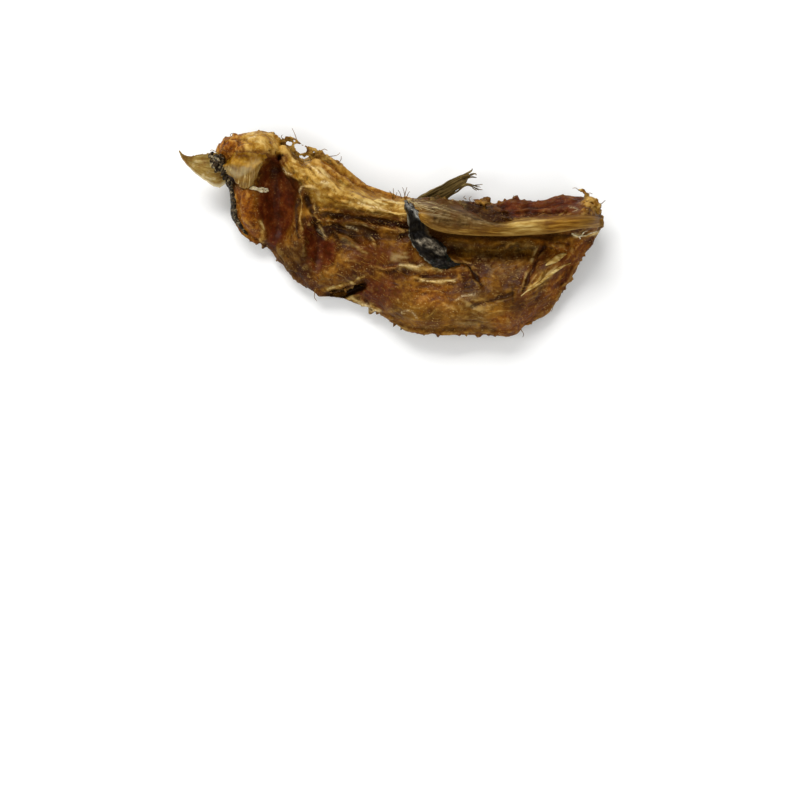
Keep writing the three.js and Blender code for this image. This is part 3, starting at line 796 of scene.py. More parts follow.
def make_fan_membrane(flesh_bed):
    """A pleated membrane that fans down and out from the throat."""
    tops = [(3.2, 84.6), (5.6, 88.2), (7.8, 89.4), (9.4, 89.6), (11, 89.6), (12.4, 89.2), (13.4, 88),
            (14, 86.6)]
    feet = [(3, 80.2), (4.6, 77.6), (6.2, 74.2), (7.9, 71.5), (9.8, 71.6), (10.9, 75), (11.8, 79.5),
            (12.9, 83.4)]
    rails = []
    for i, (top, foot) in enumerate(zip(tops, feet)):
        bulge = ((top[0] + foot[0]) / 2 - 0.2, (top[1] + foot[1]) / 2, 1.5)
        rails.append([(*top, -0.6), bulge, (*foot, 0.5 - 0.3 * (i % 2))])
    loose = loft(rails, 84, 40)
    grid = lay_on(loose, cad_bed("fan_membrane"))
    rooted = lay_on(loose, flesh_bed)
    u = np.linspace(0, 1, 85)[:, None]
    v = np.linspace(0, 1, 41)[None, :]
    hold = ease(v, 0.45, 0.05)
    grid[..., 2] = grid[..., 2] * (1 - hold) + rooted[..., 2] * hold
    pleats = 0.16 * np.sin(u * 34 + 3 * np.sin(u * 8)) + 0.05 * np.sin(u * 97)
    grid[..., 2] += pleats * ease(v, 0.35, 0.8) + 0.9 * np.exp(-(((v - 0.5) / 0.1) ** 2)) * (1 - 0.6 * u)
    grid = crinkled(grid, 0.8, 4, 310)
    piece = thicken("fan_membrane_sheet", grid, MEMBRANE_THICKNESS, ragged(grid, 3, 1.5, 311))
    return mark(piece, {"ivory": (1.0, [(2.6, 81), (3, 78.2), (6.4, 77.6), (9.6, 79.4), (12.8, 83.4),
                                        (12.2, 85), (9, 82.2), (6, 81)])})


def make_skin_fold(flesh_bed):
    """Scaly dark skin, bunched up beside the gill plate and running on down as a thin rim."""
    bed = cad_bed("scaly_skin_fold")
    clay = Clay()
    knob = [(-0.3, 88, 1.5), (0.5, 86, 2.3), (1.9, 86.8, 1.9), (2.3, 84.6, 2.0), (1, 83.8, 2.5),
            (2.4, 82, 2.3), (1.4, 81, 2.0), (2.9, 79.6, 1.9), (3.2, 77.4, 1.7), (4, 75.6, 1.3)]
    for along, across, radius in knob:
        x, y = at([(along, across)])[0]
        z = bed.heights([(x, y)])[0] - radius * 0.45
        line = [(x - 0.5, y + 0.4, z), (x, y, z + 0.3), (x + 0.5, y - 0.4, z)]
        clay.add(*tube(smooth_line(line, 8), fold_radii(radius * 1.25, 9), 12, 0.62))
    rim = [(3.6, 78), (4.2, 75.4), (4.8, 72.6), (5.3, 69.6), (5.5, 66), (5.6, 60), (6.1, 56.4),
           (7.4, 53), (9, 49.4)]
    for spread_out, drop in ((0, -0.3), (-0.3, -1.1), (-0.5, -2.0)):
        line = [(along + spread_out, across) for along, across in rim]
        course = laid_line(flesh_bed, rim, drop)
        course[:, 0] = laid_line(flesh_bed, line, 0)[:, 0]
        clay.add(*tube(wobbled(course, 0.35, 5, 320), fold_radii(1.15, len(course)), 10))
    piece = clay.fuse("scaly_skin", SCALY_SKIN_VOXEL, 6)
    points = mesh_points(piece.data)
    normals = mesh_normals(piece.data)
    scales = 0.16 * layered(points, 0.9, 321, 2) + 0.3 * noise(points, 2.6, 322)
    set_points(piece.data, points + normals * scales[:, None])
    return piece


def make_frill():
    """The head's upper edge, torn to a lace that arches clear of the flesh."""
    outer = [(17.3, 95.4, 0), (18.2, 96.9, 0.4), (19.2, 97.4, 0.6), (20.4, 96.7, 0.8), (21.4, 95.3, 0.8),
             (22.4, 94.1, 0.8), (23.4, 92.8, 0.8), (24.5, 92.2, 0.8), (26, 91.6, 0.5), (27.5, 90.4, 0.3),
             (29, 88.4, 0), (30.6, 86.2, -0.4)]
    inner = [(17.2, 93.4, -0.6), (18.2, 91.6, -0.3), (19.3, 90.6, 0), (20.4, 89.4, 0), (21.2, 87.6, 0),
             (22, 85.6, 0), (22.8, 84, 0), (24, 83.2, 0), (25, 83.6, 0), (26.4, 84.5, -0.2),
             (28, 84.5, -0.4), (29.8, 83.4, -0.8)]
    grid = lay_on(loft([outer, inner], 30, 110), cad_bed("torn_frill"))
    grid = crinkled(grid, 1.1, 3, 330)
    keep = ragged(grid, 4, 1.4, 331)
    holes = [(19.5, 93.8, 1.5, 0.9), (21.4, 92.3, 1.6, 1.2), (22.4, 90.9, 2.6, 1.9), (23.9, 86, 1.7, 1.9),
             (20.9, 94.9, 0.6, 0.5), (22.5, 87.3, 1.0, 0.8), (25.8, 89.6, 0.5, 0.4)]
    keep = open_holes(grid, keep, holes)
    return thicken("torn_lace", grid, LACE_THICKNESS, keep)


def make_belly_film():
    """Black lining of the belly, a loose flap with silver on it and its free edge rolled up."""
    left = [(48.7, 65.8, -0.3), (48.9, 62, 1.0), (49.7, 56.5, 1.8), (49.8, 49.5, 2.2), (50.6, 44.6, 2.0),
            (52.4, 40, 1.6), (54.8, 35.6, 1.2), (56.6, 32.8, 0.6), (59.6, 32.6, 0.2)]
    inner = [(49, 66.2, -0.1), (49.9, 61.8, 1.8), (51, 56.4, 1.4), (51.4, 49.5, 0.4), (52.4, 44.6, 1.8),
             (54.2, 40.6, 2.0), (56.6, 36.8, 1.0), (58.6, 34.2, 0.6), (61, 33.4, 0.2)]
    fold = [(49.3, 66.3, -0.1), (50.9, 61.6, 1.0), (52.6, 56.2, 0.3), (53.2, 50.2, -0.2), (55, 46, 0.9),
            (56.9, 42.6, 1.6), (58.2, 39, 1.0), (60, 35.6, 0.4), (62.4, 34.2, 0.1)]
    right = [(49.7, 66.2, -0.3), (51.9, 61.3, 0.4), (54.4, 55.6, 0.4), (55.2, 50, 0.1), (57.4, 46.6, 0.4),
             (59.2, 43.4, 0.6), (59.9, 39.4, 0.3), (61.4, 36.2, 0.1), (64, 34.9, -0.2)]
    grid = lay_on(loft([left, inner, fold, right], 44, 110), cad_bed("belly_film"))
    grid = crinkled(crinkled(grid, 0.7, 3.5, 340), 0.3, 1.6, 343)
    piece = thicken("belly_lining", grid, LINING_THICKNESS, ragged(grid, 4, 1.5, 341))
    return mark(piece, {
        "silver": (1.0, [(47.6, 67), (50.4, 67), (52.4, 61), (54.4, 56.6), (52.6, 56.4), (50.6, 60),
                         (48.8, 63)]),
        "sheen": (1.0, [(51.2, 46.4), (54, 48), (57.4, 45.4), (60, 42), (59, 39.6), (55.4, 41.6),
                        (52.6, 42.6)]),
    })


def make_bone(flesh_bed):
    """The collar bone in its skin: a shelf whose lower lip overhangs the trough beneath."""
    bone_bed = cad_bed("collar_bone")
    back = [(50.4, 67.4, -0.6), (54, 68, -0.6), (58, 67.8, -0.6), (61.6, 66.6, -0.6), (64.2, 62.6, -0.5),
            (66.6, 59, -0.4), (69.6, 56, -0.3), (73, 54.6, -0.3), (77, 57, -0.5), (85, 57.8, -0.6),
            (92, 58.2, -0.6), (96, 58.4, -0.6), (99.2, 57.6, -0.8)]
    shoulder = [(51, 64, 1.2), (55, 63.6, 1.5), (59.6, 62, 1.5), (63.6, 59, 1.3), (67, 56.4, 1.2),
                (70.4, 54.2, 1.1), (74, 53.6, 1.0), (78, 55, 1.0), (85, 55.8, 0.9), (92, 56.8, 0.9),
                (97, 57, 0.8), (99.3, 56.8, 0)]
    face = [(52, 59, 1.4), (56, 56.6, 1.7), (60.6, 55, 1.6), (65, 53.2, 1.4), (70, 51.8, 1.3),
            (75, 51.4, 1.3), (80, 52.2, 1.3), (85, 52.8, 1.2), (92, 54, 1.1), (97, 55.2, 1.0),
            (99.4, 55.6, 0)]
    lip = [(53, 56, 1.8), (56, 52.4, 2.3), (60, 50.4, 2.4), (66, 49.3, 2.4), (74, 48.9, 2.4),
           (82, 49.5, 2.2), (88, 50.5, 1.8), (93, 52, 1.3), (97, 53, 0.9), (99.4, 54.4, 0)]
    under = [(53.6, 55.8, 0.5), (56.6, 52.4, 0.9), (60.4, 50.8, 0.8), (66, 49.9, 0.8), (74, 49.6, 0.8),
             (82, 50.2, 0.6), (88, 51.3, 0.2), (93, 52.7, -0.3), (97, 53.6, -0.6), (99.3, 55, -0.9)]
    grid = loft([back, shoulder, face, lip, under], 46, 190)
    shape = grid.shape[:2]
    flat = grid.reshape(-1, 3)
    beneath = flesh_bed.heights(flat).reshape(shape)
    base = softened(np.maximum(beneath, bone_bed.heights(flat).reshape(shape) - 1.0), 30)
    tail = 176      # the column past which the end may not droop over the flesh's edge
    base[:, tail:] = np.maximum(base[:, tail:], base[:, tail:tail + 1] - 2.5)
    sunk = ease(np.linspace(0, 1, shape[0]), 0.42, 0.14)[:, None]
    grid[..., 2] += base * (1 - sunk) + (beneath - 0.8) * sunk
    flat = grid.reshape(-1, 3)
    x, y, z = flat.T
    slanted = np.column_stack([x * 0.93 - y * 0.37, x * 0.37 + y * 0.93, z])
    wrinkled = (1 - np.abs(layered(slanted, (13, 2.8, 8), 353))) ** 2
    on_hide = ease(x, *at([(72, 0), (60, 0)])[:, 0])
    rise = (0.22 * layered(flat, (16, 1.1, 6), 350) + 0.45 * layered(flat, 8, 351, 2)
            + 1.3 * on_hide * (wrinkled - 0.4))
    grid[..., 2] += rise.reshape(shape)
    keep = ragged(grid, 1.5, 3, 352)
    torn = layered(cell_centres(grid), 5, 354).reshape(keep.shape)
    keep &= np.arange(len(keep))[:, None] >= 6 * np.clip(torn + 0.2, 0, 1)
    return mark(thicken("collar_bone_and_skin", grid, BONE_SKIN_THICKNESS, keep), {
        "hide": (3.0, [(50, 70), (66, 70), (68, 60), (75, 56), (75, 53), (68, 51), (56, 54)]),
        "bright": (5.0, [(74.5, 58), (82, 58), (83, 50), (74.5, 50)]),
        "knob": (5.0, [(92, 64), (102, 64), (102, 52), (94, 54)]),
        "fuzz": (1.6, [(50, 67), (53, 67), (58, 60.5), (62, 58.6), (57, 58), (53, 60)]),
    })


def make_fin():
    """Fin rays lying together with the web dried between them, split and frayed at their ends."""
    bed = cad_bed("pectoral_fin")
    upper = [(50.6, 66.6, 0.5), (55, 70.6, 1.2), (60, 75.8, 0.9), (63.6, 78.8, 0.6), (65.2, 79.9, 0.4)]
    middle = [(53, 66.2, 0.8), (57.2, 70, 1.4), (61.2, 74.2, 1.0), (64.4, 77.6, 0.5), (65.3, 78.4, 0.3)]
    lower = [(59.5, 66, 0.2), (60.6, 69, 0.7), (62, 71.4, 0.7), (64.3, 74.6, 0.4), (64.6, 76.4, 0.2)]
    grid = lay_on(loft([upper, middle, lower], 54, 90), bed)
    u = np.linspace(0, 1, 55)[:, None]
    grid[..., 2] += 0.35 * np.abs(np.sin(u * 20)) + 0.12 * np.sin(u * 75)
    grid = crinkled(grid, 0.45, 4, 360)
    web = thicken("fin_web", grid, FIN_WEB_THICKNESS, ragged(grid, 7, 1.0, 361, only_its_end=True))
    clay = Clay()
    rays = [
        ([(52, 67.6), (58, 73.4), (63, 78), (65.4, 80.2), (66.4, 81.7)], 0.65),
        ([(53.5, 67.6), (59, 73), (63.6, 77.6), (66, 79), (67.2, 79.6)], 0.6),
        ([(55, 67.4), (60, 72.4), (64, 76.8), (66, 78), (67.4, 77.6)], 0.6),
        ([(57, 67.2), (61, 71), (64.4, 74.4), (66.4, 73.8), (68.4, 72.6)], 0.55),
        ([(58.5, 67), (62, 70.6), (64.6, 73.7), (66.2, 73), (67.8, 71.4)], 0.5),
        ([(65.2, 79.7), (66, 80.9), (66.1, 82)], 0.35),
        ([(65.4, 78.9), (66.5, 79.2), (67.3, 78.6)], 0.35),
        ([(66.6, 73.8), (67.6, 73.8), (68.7, 73.9)], 0.3),
        ([(66.2, 73.2), (67.4, 72.2), (68.8, 71.8)], 0.3),
        ([(66, 73), (66.9, 71.8), (67.3, 71.1)], 0.25),
    ]
    for seed, (line, radius) in enumerate(rays):
        course = wobbled(laid_line(bed, line, 0.6), 0.35, 3, 370 + seed)
        taper = np.linspace(1, 0.55, len(course))
        clay.add(*tube(course, fold_radii(radius, len(course)) * taper, 8))
    return web, clay.as_piece("fin_rays")


def make_sliver(name, bed, line, widths, seed):
    """A flat splinter of bone with sharp ends."""
    course = wobbled(laid_line(bed, line, 0.3), 0.3, 4, seed)
    share = np.linspace(0, 1, len(course))
    radii = np.interp(share, np.linspace(0, 1, len(widths)), widths)
    return make_piece(name, make_mesh(name, *tube(course, radii, 12, 0.55)))


# Loose ends. Shreds of sinew: a line on the grid, lift, radius.

SHREDS = {
    "throat shred": ([(9.8, 72.8), (11.2, 71.4), (12.6, 70.6), (14.1, 70.8)], 0.5, 1.1),
    "throat shred end": ([(11.8, 71.8), (13, 71.9), (13.9, 71.6)], 0.4, 0.7),
    "tail shred": ([(91.2, 49.6), (92.4, 48.6), (93.6, 47.6)], 0.5, 0.5),
    "tail shred long": ([(92.8, 48.3), (95, 49), (97, 50.4), (98.3, 50.9)], 0.5, 0.45),
    "tail shred hook": ([(93.8, 48.6), (94.2, 50), (95.3, 50.9)], 0.5, 0.35),
}

# Fibres that stand off the edges: lines on the grid, with a height over the root. Real ones
# are about 0.1 mm thick, and these are drawn up to 0.4 mm thick so that they show.

HAIRS = [
    [(21.3, 95.2, 0), (21.1, 97.6, 1), (20.2, 100.9, 2)],
    [(29.4, 88, 0), (31.2, 88.2, 2), (32.4, 89.6, 3)], [(31.6, 84, 0), (32.6, 86, 2), (32.6, 88, 3)],
    [(27.4, 90.4, 0), (28.4, 91, 1), (29.2, 90.6, 1)], [(17.8, 96, 0), (17.6, 97.2, 1), (18, 97.8, 1)],
    [(46, 67, 0), (46.1, 70, 1), (46, 72.4, 1)], [(45.8, 67, 0), (45.5, 69.6, 1), (45, 71, 1)],
    [(46.3, 67, 0), (46.7, 69.4, 1), (46.8, 70.6, 1)], [(48.6, 67, 0), (48.8, 70.6, 1), (48.2, 73, 1)],
    [(48.8, 67, 0), (49.2, 71, 1), (49.4, 73, 1)], [(48.2, 67, 0), (47.8, 69.6, 1), (47.2, 71.4, 1)],
    [(49, 66.6, 0), (49.6, 69.2, 1), (50.2, 70.6, 1)], [(26, 23.6, 0), (25.8, 20, 1), (26.2, 17, 1)],
    [(76, 66.4, 0), (76.8, 67.6, 1), (76.4, 68.6, 1)], [(65.6, 66, 0), (65.4, 67.8, 1), (66, 68.6, 1)],
    [(64.6, 66.6, 0), (63.8, 67.6, 1), (64.2, 68.4, 1)], [(98.6, 64, 0), (99.6, 65.6, 1), (100, 66, 1)],
    [(93.4, 70.6, 1), (92.2, 71.9, 2), (91.4, 71.8, 2)], [(94.6, 68, 1), (95.8, 69.4, 2), (96.6, 69, 2)],
    [(86.6, 15.5, 0), (86.8, 13.4, 0), (86.4, 12, 0)], [(78.6, 3.5, 0), (79.2, 1.4, 0), (79, -0.4, 0)],
    [(5, 96.6, 0), (4.6, 98, 1), (5.4, 98.8, 1)], [(0.8, 90, 0), (-0.2, 90.8, 1), (-0.8, 90.2, 1)],
]


def strand_piece(name, courses):
    clay = Clay()
    for course, radius in courses:
        clay.add(*tube(course, radius * np.linspace(1, 0.5, len(course)), 6))
    return clay.as_piece(name)


def make_shreds(bed):
    return strand_piece("pale_shreds", [
        (wobbled(laid_line(bed, line, lift), 0.5, 2, 400 + seed), radius)
        for seed, (line, lift, radius) in enumerate(SHREDS.values())])


HIDE_FIBRES = [
    [(49.6, 66.4), (51.8, 63.6), (54, 61.4), (56.4, 60)], [(49.8, 66.6), (53, 64.6), (56.6, 62), (59, 60.6)],
    [(50.2, 66.8), (54.4, 65.6), (58, 64), (61, 62.4)], [(49.6, 65.8), (51, 61.6), (52.8, 58.6)],
    [(50, 66.2), (52.4, 62.2), (55.6, 58.8), (57.4, 57.6)], [(56, 59.4), (58.4, 61.4), (59.6, 63.4)],
    [(50.6, 65.4), (53.4, 62.8), (57.4, 61.2), (60.4, 59.4)], [(51.4, 66.4), (55.6, 64.4), (60.6, 61)],
]


def make_hide_fibres(bed):
    """Pale fibres that the hide has shed where the belly lining tore off it."""
    return strand_piece("hide_fibres", [
        (wobbled(laid_line(bed, line, 0.1), 0.4, 3, 470 + seed), 0.22 - 0.06 * (seed % 3))
        for seed, line in enumerate(HIDE_FIBRES)])


def make_hairs(bed):
    courses = []
    for seed, hair in enumerate(HAIRS):
        line = smooth_line(at(hair), 14)
        line[:, 2] += bed.heights(line[:1])[0] - HAIR_ROOT_DEPTH
        courses.append((wobbled(line, 0.3, 2, 430 + seed), HAIR_RADIUS))
    return strand_piece("loose_fibres", courses)


HAIR_RADIUS = 0.2
HAIR_ROOT_DEPTH = 0.6
FIBRE_COUNT = 170
FIBRE_LENGTH = (2.0, 6.0)
FIBRE_RADIUS = (0.06, 0.12)
STEEPEST_STEP = 1.2     # a fibre that would climb more than this at one step is left out
FIBROUS = [(17, 92), (24, 84), (33, 79), (46, 69), (50, 62), (56, 40), (66, 30), (80, 44), (94, 44),
           (90, 27), (84, 12), (77, 3), (53, 3), (42, 14), (33, 22), (26, 26), (21, 34), (22, 62), (17, 80)]


def make_lifted_fibres(bed):
    """Fine strands that have split off the flesh and lie along its grain."""
    rng = np.random.default_rng(7)
    outline = at(FIBROUS)
    low, high = outline.min(axis=0), outline.max(axis=0)
    courses = []
    while len(courses) < FIBRE_COUNT:
        root = rng.uniform(low, high)
        if outline_distance(root[None], outline)[0] < 2:
            continue
        nearest = min(GRAINS, key=lambda grain: abs(root[0] - grain[0]) / grain[1])
        turn = math.radians(nearest[2] + rng.normal(0, 16))
        length = rng.uniform(*FIBRE_LENGTH)
        share = np.linspace(0, 1, 12)
        ahead = length * share
        aside = length * rng.normal(0, 0.1) * np.sin(math.pi * share)
        line = np.column_stack([
            root[0] + ahead * math.cos(turn) - aside * math.sin(turn),
            root[1] + ahead * math.sin(turn) + aside * math.cos(turn)])
        height = bed.heights(line) + 0.03 + rng.uniform(0, 0.3) * share**3
        course = np.column_stack([line, height])
        if np.abs(np.diff(height)).max() < STEEPEST_STEP:
            courses.append((course, rng.uniform(*FIBRE_RADIUS)))
    return strand_piece("lifted_fibres", courses)


# Finishes

HORN_IOR = 1.45
DRY_SHINE = 0.06
SCALE_SIZE = 0.9


def linear(code):
    """An sRGB hex colour as the linear values that a shader takes."""
    parts = [int(code[i:i + 2], 16) / 255 for i in (1, 3, 5)]
    return [p / 12.92 if p <= 0.04045 else ((p + 0.055) / 1.055) ** 2.4 for p in parts] + [1.0]


def node(material, kind, links=None, out=0, stops=(), **settings):
    """Adds a shader node and gives one of its outputs. Links say what its inputs take, by name
    or number: another node's output, a hex colour or a number. Stops are a colour ramp's places
    and hex colours. Settings name its properties."""
    made = material.node_tree.nodes.new("ShaderNode" + kind)
    for name, value in settings.items():
        setattr(made, name, value)
    for place, value in (links or {}).items():
        if isinstance(value, bpy.types.NodeSocket):
            material.node_tree.links.new(value, made.inputs[place])
        else:
            made.inputs[place].default_value = linear(value) if isinstance(value, str) else value
    for _ in stops[2:]:
        made.color_ramp.elements.new(0.5)
    for i, (place, code) in enumerate(stops):
        made.color_ramp.elements[i].position = place
        made.color_ramp.elements[i].color = linear(code)
    return made.outputs[out] if len(made.outputs) else made


def new_material(name):
    material = bpy.data.materials.new(name)
    material.use_nodes = True
    material.node_tree.nodes.clear()
    return material


def blotches(m, size, seed, detail=5.0, roughness=0.6, stretch=(1, 1, 1)):
    """Cloudy noise, its blotches size mm across, stretched along the object's axes."""
    placed = node(m, "Mapping", {
        "Vector": node(m, "TexCoord", out="Object"),
        "Scale": [1 / (size * s * MM) for s in stretch],
        "Location": (seed, seed * 0.7, seed * 1.3)})
    return node(m, "TexNoise", {"Vector": placed, "Scale": 1.0, "Detail": detail,
                                "Roughness": roughness})


def streaked(m, across, along, seed, detail=5.0):
    """Noise that runs with a sheet: so many streaks across it, and so many patches along it."""
    place = node(m, "CombineXYZ", {
        "X": node(m, "Attribute", out="Fac", attribute_name="across"),
        "Y": node(m, "Attribute", out="Fac", attribute_name="along")})
    placed = node(m, "Mapping", {"Vector": place, "Scale": (across, along, 1),
                                 "Location": (seed, seed, seed)})
    return node(m, "TexNoise", {"Vector": placed, "Scale": 1.0, "Detail": detail, "Roughness": 0.6})


def tinted(m, colour, *layers):
    """Lays tints over a colour, one after another, each by the product of its shares. A share is
    a pattern, or a stored mask's name, and the range it is spread from and to."""
    for tint, *shares in layers:
        total = None
        for where, *reach in shares:
            if isinstance(where, str):
                where = node(m, "Attribute", out="Fac", attribute_name=where)
            low, high, least, most = reach + [0, 1, 0, 1][len(reach):]
            share = node(m, "MapRange", {"Value": where, "From Min": low, "From Max": high,
                                         "To Min": least, "To Max": most})
            if total is not None:
                share = node(m, "Math", {0: total, 1: share}, operation="MULTIPLY")
            total = share
        colour = node(m, "Mix", {0: total, 6: colour, 7: tint}, 2, data_type="RGBA")
    return colour


def finish(m, colour, roughness, height, depth, coat=0.0, scatter=0.0):
    """A dried surface, its relief depth mm deep. Tissue and bone refract like horn, and what
    shine is left on them once they are dry is low."""
    bumped = node(m, "Bump", {"Height": height, "Distance": depth * MM, "Strength": 1.0})
    surface = node(m, "BsdfPrincipled", {
        "Base Color": colour, "Normal": bumped, "Roughness": roughness, "IOR": HORN_IOR,
        "Specular IOR Level": DRY_SHINE, "Coat Weight": coat,
        "Coat Roughness": 0.18, "Coat IOR": 1.4,
        "Subsurface Weight": scatter, "Subsurface Radius": (1.0, 0.5, 0.2),
        "Subsurface Scale": 1.2 * MM})
    node(m, "OutputMaterial", {"Surface": surface})
    return m


def dried_flesh_material():
    """Fish flesh air-dried to a hard, oily, half-clear amber: glassy red-brown where it is lean,
    golden where fat has come out, dull and pale where fibres have lifted, with painted shade in
    each fold and hollow and painted highlights on crests and glints."""
    m = new_material("dried_flesh_air_dried")
    broad = blotches(m, 11, 1.0, 4.0, 0.55)
    patch = blotches(m, 5, 3.0)
    cloud = blotches(m, 7, 21.0, 4.0, 0.6)
    fine = blotches(m, 2.4, 4.0, 6.0, 0.65)
    speck = blotches(m, 0.8, 9.0, 3.0, 0.55)
    split = node(m, "MapRange", {0: speck, 1: 0.35, 2: 0.65, 3: 0.15, 4: 0.6})
    strand = node(m, "Attribute", out="Fac", attribute_name="strand")
    fibres = node(m, "Mix", {0: split, 2: strand, 3: fine})
    mixed = node(m, "Mix", {0: node(m, "MapRange", {0: speck, 1: 0.3, 2: 0.7}), 2: fine, 3: fibres})
    colour = node(m, "ValToRGB", {0: broad}, stops=(
        (0.36, "#331500"), (0.46, "#4f2903"), (0.54, "#673c07"), (0.64, "#805212")))
    gold = node(m, "ValToRGB", {0: mixed}, stops=(
        (0.34, "#6e460a"), (0.45, "#8e6114"), (0.56, "#ab7f2a"), (0.7, "#cfae5e")))
    gold = tinted(
        m, gold,
        ("#7a4c0c", (cloud, 0.5, 0.62, 0, 0.7)),
        ("#c2a258", (cloud, 0.46, 0.34, 0, 0.6), (fine, 0.35, 0.6)))
    rust_and_painted_highlight = node(m, "ValToRGB", {0: mixed}, stops=(
        (0.34, "#4c1e01"), (0.48, "#763e04"), (0.6, "#985e10"), (0.72, "#b88636")))
    red = node(m, "ValToRGB", {0: patch}, stops=(
        (0.34, "#320b01"), (0.47, "#481704"), (0.6, "#602c0a"), (0.7, "#7e4c24")))
    pale = node(m, "ValToRGB", {0: fibres}, stops=((0.34, "#745010"), (0.5, "#a5803a"), (0.64, "#dcc280")))
    hide = node(m, "ValToRGB", {0: fibres}, stops=((0.34, "#38260a"), (0.5, "#58421f"), (0.66, "#826a42")))
    skin = node(m, "ValToRGB", {0: fine}, stops=((0.34, "#26220f"), (0.5, "#524828"), (0.66, "#7c6c42")))
    roughness = node(m, "MapRange", {0: fine, 1: 0.35, 2: 0.65, 3: 0.3, 4: 0.6})
    colour = tinted(
        m, colour,
        ("#2a1002", (fine, 0.46, 0.34, 0, 0.5)),
        ("#a0722a", (fine, 0.55, 0.68, 0, 0.4)),
        ("#421c02", (patch, 0.44, 0.6, 0, 0.7)),
        ("#8a5e18", (patch, 0.44, 0.32, 0, 0.6)),
        (gold, ("gold",)),
        # Rust tone; on one roll's crest and on the top of the red glass it is painted light.
        (rust_and_painted_highlight, ("rust_and_painted_highlight",)),
        (red, ("red", 0, 1, 0, 0.95)),
        (pale, ("pale",), (fibres, 0.34, 0.54, 0.3, 1)),
        (hide, ("hide",)),
        # Grey bloom, with painted highlights on the crests of the purple rolls.
        ("#6c5432", ("bloom_and_painted_highlight",), (fine, 0.42, 0.66, 0, 0.7)),
        # Painted shade: darker where the surface lies below its broad surroundings, and where it lies below
        # its close ones.
        ("#260d00", ("stands_out", 0.47, 0.18, 0, 0.65)),
        ("#220b00", ("raised", 0.45, 0.2, 0, 0.5)),
        # Paler crests: dried fibre lifting on the ridges, and a painted highlight where they catch the light.
        ("#c49c50", ("raised", 0.56, 0.82), (fibres, 0.42, 0.6), ("gold", 0, 1, 0.3, 0.8),
         ("red", 0, 1, 1, 0.25)),
        ("#bc9c60", (speck, 0.6, 0.69), (patch, 0.42, 0.6, 0.1, 0.75), ("red", 0, 1, 1, 0.3)),
        # Painted shade from the dark mask: hollows, slit, pits and the trough under the bone's lip.
        ("#1c0900", ("dark", 0, 1, 0, 0.88)),
        # Painted highlights: the bright glints, broken up by specks.
        ("#e2cc98", ("bright",), (speck, 0.42, 0.58, 0.1, 0.95)),
        (skin, ("skin",)))
    return finish(m, colour, roughness, mixed, 0.8, coat=0.05, scatter=0.03)


def gill_plate_material():
    """Thin plate bone, scraped bare: ivory, ribbed from its point, browned at its torn edge."""
    m = new_material("gill_plate_bare_bone")
    ribs = streaked(m, 22, 2.5, 2.0)
    stain = blotches(m, 5, 3.0, 4.0, 0.55)
    colour = node(m, "ValToRGB", {0: ribs}, stops=(
        (0.3, "#6e5420"), (0.45, "#84682f"), (0.58, "#9a8046"), (0.72, "#b8a470")))
    colour = tinted(
        m, colour,
        ("#6e420c", (stain, 0.5, 0.66, 0, 0.8)),
        ("#cdbe92", (stain, 0.44, 0.34, 0, 0.6)),
        ("#cfc29c", ("across", 0.86, 0.97, 0, 0.8)),
        ("#55401c", ("across", 0.05, 0.0, 0, 0.6)))
    return finish(m, colour, 0.42, ribs, 0.15, coat=0.03, scatter=0.1)


def fan_membrane_material():
    """Membrane dried in pleats: horn-yellow, near white on each crest, glossy as dried glue."""
    m = new_material("fan_membrane_dried_glossy")
    pleats = streaked(m, 26, 2.0, 5.0)
    broad = blotches(m, 5, 6.0, 4.0, 0.55)
    colour = node(m, "ValToRGB", {0: pleats}, stops=(
        (0.34, "#654612"), (0.46, "#775722"), (0.56, "#8c6e36"), (0.68, "#b8a06a")))
    gold = node(m, "ValToRGB", {0: broad}, stops=((0.38, "#6c3e04"), (0.5, "#8e6210"), (0.62, "#b08430")))
    colour = tinted(
        m, colour,
        ("#84601c", (broad, 0.5, 0.64, 0, 0.7)),
        (gold, ("along", 0.56, 0.4, 0, 0.97)),
        ("#bca878", ("ivory", 0, 1, 0, 0.7), (broad, 0.34, 0.56, 1, 0.4)))
    return finish(m, colour, 0.3, pleats, 0.25, coat=0.2, scatter=0.12)


def scaly_skin_material():
    """Black skin with its scales still on: each a speck of silver or olive on a black ground."""
    m = new_material("fish_skin_scaly_dried")
    placed = node(m, "Mapping", {"Vector": node(m, "TexCoord", out="Object"),
                                 "Scale": [1 / (SCALE_SIZE * MM)] * 3})
    scales = {"Vector": placed, "Scale": 1.0, "Randomness": 1.0}
    tone = node(m, "SeparateColor", {0: node(m, "TexVoronoi", scales, out="Color")})
    stain = blotches(m, 2.5, 8.0, 4.0, 0.55)
    colour = node(m, "ValToRGB", {0: tone}, stops=(
        (0.0, "#120c06"), (0.45, "#2c2010"), (0.75, "#54432a"), (0.97, "#94876a")))
    height = node(m, "TexVoronoi", scales, out="Distance")
    colour = tinted(
        m, colour,
        ("#1a130a", (stain, 0.46, 0.6, 0, 0.85)),
        ("#5c5a4a", (stain, 0.4, 0.3, 0, 0.35)))
    return finish(m, colour, 0.4, height, 0.3, coat=0.08)


def lace_material():
    """A torn skin edge: brown and horny, near black where it has shrunk thickest."""
    m = new_material("torn_skin_lace")
    broad = blotches(m, 4.5, 11.0, 4.0, 0.55)
    fine = blotches(m, 1.2, 12.0, 4.0, 0.55)
    colour = node(m, "ValToRGB", {0: broad}, stops=(
        (0.32, "#442408"), (0.45, "#74501c"), (0.56, "#96722e"), (0.7, "#bc9850")))
    colour = tinted(m, colour, ("#36190a", (fine, 0.5, 0.66, 0, 0.6)))
    return finish(m, colour, 0.4, fine, 0.5, coat=0.05, scatter=0.1)


